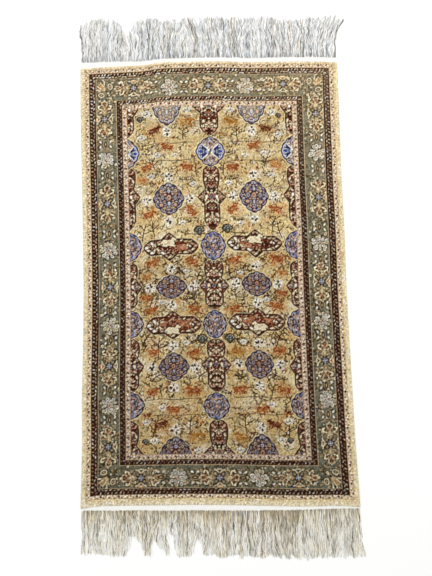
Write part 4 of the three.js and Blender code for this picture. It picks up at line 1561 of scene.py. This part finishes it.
def weaveStrip(end, outward, rng):  # flat-woven strip between the pile and the fringe
    strip, shareX, shareY = newGrid("flatWoven" + end.capitalize(), stripSet["columns"], stripSet["rows"])
    straightX = (shareX - 0.5) * (rugSize["width"] - 2 * stripSet["inset"])
    width = curveThrough(endLine["across"], endLine[end + "Strip"], straightX)
    baseX, baseY = laid(straightX, np.full(len(straightX), outward * halfLength))
    past = shareY * (width + stripSet["tuck"]) - stripSet["tuck"]
    sag = stripSet["top"] - 0.5 * shareY ** 3 - 0.25 * np.abs(np.sin(straightX / 2.6)) * (shareY > 0.85)
    writePoints(strip, setDown(baseX, baseY + outward * past, sag))
    closeGrid(strip, -stripSet["wall"] / perMetre, stripSet["floorGap"] / perMetre)
    clean = np.ones((len(strip.data.vertices), 1))
    clean[:len(past), 0] = 1 - stripSet["soil"] * np.clip(1 - np.abs(shareY) / stripSet["soilReach"], 0, 1)
    stain = linearOf(stripSet["dye"]) * clean * rng.uniform(0.94, 1.0, (len(clean), 1))
    giveColours(strip, "threadColour", np.clip(stain, 0, 1))
    layFlatMap(strip, 1)
    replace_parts(finishPiece(strip, flatWeave), "fringe_" + end)
    return strip


def combThreads(look, rng):  # threads side by side, the cords they cling in and the locks they fall in
    count = fringeSet["strands"]
    span = rugSize["width"] - 2 * stripSet["inset"]
    place = (np.arange(count) + rng.uniform(0.1, 0.9, count)) / count
    across = place * span - halfWidth + stripSet["inset"]
    edges = np.cumsum(rng.uniform(*look["lock"], fringeSet["locks"])) - halfWidth - fringeSet["lockStart"]
    comb = SimpleNamespace(across=across, count=count, locks=len(edges) + 1)
    comb.swayAt = evenly(look["swayPitch"])
    comb.cord = np.arange(count) // len(look["plies"])
    comb.cords = comb.cord[-1] + 1
    comb.bundleAt = (np.floor(across / fringeSet["bundle"]) + 0.5) * fringeSet["bundle"]
    comb.lock = np.searchsorted(edges, across)
    comb.lockLow = edges[comb.lock - 1]
    comb.lockHigh = edges[comb.lock]
    return comb


def layThreads(end, outward, look, comb, rng):  # the line that every thread takes, in millimetres
    share = threadShare
    across = comb.across
    cord = comb.cord
    lines = fringeLines[end]
    lockAt = (comb.lockHigh + comb.lockLow) / 2
    pull = rng.uniform(0.05, 0.42, comb.locks)[comb.lock]
    longer = rng.normal(0, 3.0, comb.locks)[comb.lock]
    tipAcross = across + (lockAt - across) * pull + rng.normal(0, 2.6, comb.cords)[cord]
    reach = curveThrough(lines["across"], lines["reach"], across) + longer
    reach -= np.abs(rng.normal(0, look["scatter"], comb.count)) * 0.6
    reach -= np.abs(rng.normal(0, look["scatter"], comb.cords))[cord] * 0.6
    drift = curveThrough(lines["across"], lines["drift"], across)
    wander = rng.normal(0, 1.0, (comb.cords, 3))[cord]
    width = curveThrough(endLine["across"], endLine[end + "Strip"], across)
    baseX, baseY = laid(across, np.full(comb.count, outward * halfLength))
    rootAcross = comb.bundleAt + (across - comb.bundleAt) * fringeSet["gather"]
    spread = np.clip(share / 0.3, 0, 1)
    lineX = (baseX + rootAcross - across)[:, None] * (1 - spread) + baseX[:, None] * spread
    lineX = lineX + (tipAcross - across)[:, None] * share ** 1.4 + drift[:, None] * share ** 2.2
    curlTurn = (across[:, None] / fringeSet["curlPitch"] + share) * 2 * math.pi
    lineX += fringeSet["curl"] * np.sin(curlTurn) * share
    swing = np.interp(across, comb.swayAt, rng.normal(0, 1, len(comb.swayAt)))[:, None]
    phase = np.interp(across, comb.swayAt, rng.normal(0, 1, len(comb.swayAt)))[:, None]
    stray = (rng.uniform(0, 1, comb.cords) < look["strays"])[cord][:, None]
    onTop = rng.uniform(0.8, 1.25, (comb.cords, 1))[cord]
    comb.layer = np.where(stray, onTop, rng.uniform(0, 1, (comb.cords, 1))[cord])
    loose = np.clip(1.7 * comb.layer, 0.3, 1)  # the threads underneath lie straighter
    lineX += look["sway"] * swing * np.sin(share * 4.5 + phase) * share
    strayed = stray * loose * look["strayReach"] * wander[:, 2:3]
    lineX += strayed * np.sin(share * 3 + wander[:, 1:2]) * share
    lineX += loose * wander[:, :1] * np.sin(share * 6 + wander[:, 1:2] * 3) * 2.6 * share ** 0.7
    crimpAt = rng.uniform(0, 6.3, comb.locks)[comb.lock][:, None]
    crimpAt += rng.normal(0, 0.5, (comb.cords, 1))[cord]
    crimp = np.sin(share * reach[:, None] * 2 * math.pi / fringeSet["crimpPitch"] + crimpAt)
    free = np.clip(share * 4, 0, 1)
    lineX += loose * look["crimp"] * crimp * free
    lineX += rng.normal(0, look["frizz"], (comb.cords, fringeSet["steps"]))[cord] * free
    past = reach[:, None] * share - fringeSet["rootTuck"] * (1 - share)
    lineY = (baseY + outward * width)[:, None] + outward * past
    lineZ = fringeSet["thick"] + 0.1 + fringeSet["lift"] * comb.layer * (1 - 0.55 * share)
    lineZ += 0.35 * np.sin(share * 7 + wander[:, 2:3] * 4) ** 2
    return lineX, lineY, lineZ


def spinThreads(name, lineX, lineY, lineZ, rng):  # a thin tube along every line
    count, steps = lineX.shape
    sides = fringeSet["sides"]
    around = np.arange(sides) / sides * 2 * math.pi + math.pi / 2
    taper = fringeSet["thick"] * (1 - 0.35 * threadShare[..., None] ** 6)
    thin = taper * rng.uniform(0.75, 1.15, (count, 1, 1))
    tubeX = lineX[..., None] + thin * np.cos(around)
    tubeY = lineY[..., None] + 0 * tubeX
    tubeZ = np.maximum(lineZ[..., None] + thin * np.sin(around) * 0.85, 0.05)
    points = setDown(tubeX, tubeY, tubeZ).reshape(-1, 3)
    start = (np.arange(count) * steps * sides)[:, None]
    ring = (start + np.arange(steps - 1) * sides)[..., None]
    edge = np.arange(sides)
    after = (edge + 1) % sides
    quads = np.stack([ring + edge, ring + after, ring + sides + after, ring + sides + edge], axis=-1)
    rootCaps = start + edge[::-1]
    tipCaps = start + (steps - 1) * sides + edge
    faces = quads.reshape(-1, 4).tolist() + rootCaps.tolist() + tipCaps.tolist()
    mesh = bpy.data.meshes.new(name)
    mesh.from_pydata(points.tolist(), [], faces)
    fringe = bpy.data.objects.new(name, mesh)
    bpy.context.collection.objects.link(fringe)
    openMesh(fringe)
    shutMesh()
    return fringe


def dyeThreads(fringe, look, comb, rng):  # soiled roots, locks that catch the light, dark gaps
    share = threadShare
    across = comb.across
    steps = fringeSet["steps"]
    threads = np.array([linearOf(code) for code in look["threads"]])
    plies = np.array(look["plies"])
    lockTint = rng.uniform(0.88, 1.1, (comb.locks, 1))[comb.lock]
    own = threads[rng.integers(0, len(threads), comb.cords)[comb.cord]]
    # painted shade: threads lying lower in the fringe are darker
    own = own * lockTint * (look["underShade"] + fringeSet["rise"] * comb.layer)
    # painted shade across every cord, from its plies
    own = own * plies[np.arange(comb.count) % len(plies)][:, None]
    offBundle = np.abs(across - comb.bundleAt) / fringeSet["bundle"]
    # painted shade on the roots where the bundles part
    gapShade = 1 - 0.3 * np.clip((offBundle - 0.36) / 0.14, 0, 1)
    rootTint = linearOf(look["root"]) * rng.uniform(0.75, 1.0, (comb.count, 1)) * gapShade[:, None]
    soilAt = np.interp(across, comb.swayAt, rng.uniform(0.2, 1.0, len(comb.swayAt)))[:, None]
    soil = (soilAt * np.clip(1 - share / look["soilReach"], 0, 1))[..., None]
    colour = own[:, None, :] * (1 - soil) + rootTint[:, None, :] * soil
    within = (across - comb.lockLow) / (comb.lockHigh - comb.lockLow)
    edgeShade = 1.06 - 0.4 * np.abs(2 * within - 1) ** 4  # every lock is darker along its edges
    colour *= edgeShade[:, None, None]
    turnAt = evenly(fringeSet["dapplePitch"])
    turns = [np.interp(across, turnAt, row) for row in rng.normal(0, 1, (steps, len(turnAt)))]
    colour *= 1 + fringeSet["dapple"] * np.array(turns).T[..., None]  # locks turn in the light
    # painted gleam: each cord lighter or darker from step to step
    colour *= 1 + fringeSet["gleam"] * rng.normal(0, 1, (comb.cords, steps, 1))[comb.cord]
    shade = np.ones((comb.count, steps))
    for sliver in range(look["shadeSlivers"]):  # painted shade: short dark gaps between the locks
        aside = np.abs(across - rng.uniform(-halfWidth, halfWidth)) / rng.uniform(0.6, 1.5)
        run = rng.uniform(0.06, 0.2)
        beyond = np.abs(share - rng.uniform(0.12, 0.85)) / run
        dark = rng.uniform(0.5, 0.95) * np.clip(1.5 - aside, 0, 1)[:, None] * np.clip(1.5 - beyond, 0, 1)
        shade *= 1 - dark
    colour *= shade[..., None]
    gap = np.clip((offBundle - 0.33) / 0.06, 0, 1)[:, None] * np.clip(1.5 - share / 0.07, 0, 1)
    colour *= 1 - 0.82 * gap[..., None]  # shade where the bundles part at their knots
    colour = np.repeat(colour.reshape(-1, 3), fringeSet["sides"], axis=0)
    giveColours(fringe, "threadColour", np.clip(colour, 0.003, 1))


def layLanes(fringe):  # own texture map: a lane for every thread
    mesh = fringe.data
    steps = fringeSet["steps"]
    sides = fringeSet["sides"]
    lanes = fringeSet["lanes"]
    corner = np.empty(len(mesh.loops), int)
    mesh.loops.foreach_get("vertex_index", corner)
    strand = corner // (steps * sides)
    laneX = (strand % lanes + 0.12 + 0.76 * (corner % sides) / (sides - 1)) / lanes
    laneY = strand // lanes + 0.04 + 0.92 * (corner // sides % steps) / (steps - 1)
    laneY = laneY / (fringeSet["strands"] // lanes)
    layer = mesh.uv_layers.new(name="OFBake")
    layer.data.foreach_set("uv", np.stack([laneX, laneY], axis=-1).ravel())


for end, outward in (("head", 1), ("foot", -1)):
    rng = np.random.default_rng(fringeSet["seed"] + outward)
    look = fringeLooks[end]
    weaveStrip(end, outward, rng)
    comb = combThreads(look, rng)
    line = layThreads(end, outward, look, comb, rng)
    fringe = spinThreads("fringe" + end.capitalize(), *line, rng)
    dyeThreads(fringe, look, comb, rng)
    layLanes(fringe)
    finishPiece(fringe, looseWarp, 80)
print("ends woven and fringed")

# Floor, light and camera
deselectAll()
bpy.ops.mesh.primitive_plane_add(size=30, location=(0, 0, 0))
floor = bpy.context.object
floor.name = "studioFloor"
floorFinish = {"Base Color": (*linearOf("#FBFBFA"), 1), "Roughness": 0.9, "Specular IOR Level": 0.1}
paleFloor = newMaterial("pale studio floor", floorFinish)
floor.data.materials.append(paleFloor)

scene = bpy.context.scene
scene.view_settings.view_transform = "Standard"
world = bpy.data.worlds.new("softStudio")
scene.world = world
world.use_nodes = True
setShader(world.node_tree.nodes["Background"], {"Color": (0.97, 0.985, 1.0, 1), "Strength": 0.82})
lightSet = [
    {"name": "softboxHead", "size": 2.6, "power": 46, "tint": "#FFF8EC",
     "at": (0.7, 1.9, 2.6), "aim": (0.1, 0.45, 0)},
    {"name": "softboxSide", "size": 2.2, "power": 12, "tint": "#F6F9FF",
     "at": (-2.2, -0.4, 2.4), "aim": (0, 0, 0)},
]
for row in lightSet:
    bpy.ops.object.light_add(type="AREA", location=row["at"])
    lamp = bpy.context.object
    lamp.name = row["name"]
    lamp.data.size = row["size"]
    lamp.data.energy = row["power"]
    lamp.data.color = linearOf(row["tint"])
    lamp.rotation_euler = (Vector(row["aim"]) - Vector(row["at"])).to_track_quat("-Z", "Y").to_euler()

cameraSet = {  # solved from the rug's corners in the photograph
    "lens": 27.04,
    "at": (31.3, -159.1, 1489.5),
    "turns": (-4.3634, 1.1498, -1.4165),
}
tiltX, tiltY, tiltZ = [math.radians(angle) for angle in cameraSet["turns"]]
turned = Matrix.Rotation(tiltX, 3, "X") @ Matrix.Rotation(tiltY, 3, "Y") @ Matrix.Rotation(tiltZ, 3, "Z")
right = Vector((turned[0][0], -turned[0][1], -turned[0][2]))
up = Vector((-turned[1][0], turned[1][1], turned[1][2]))
back = -Vector((turned[2][0], -turned[2][1], -turned[2][2]))
bpy.ops.object.camera_add()
camera = bpy.context.object
camera.data.sensor_fit = "AUTO"
camera.data.sensor_width = 36
camera.data.lens = cameraSet["lens"]
at = Vector(setDown(*cameraSet["at"]))
camera.matrix_world = Matrix.Translation(at) @ Matrix((right, up, back)).transposed().to_4x4()
scene.camera = camera
print("floor, light and camera set")
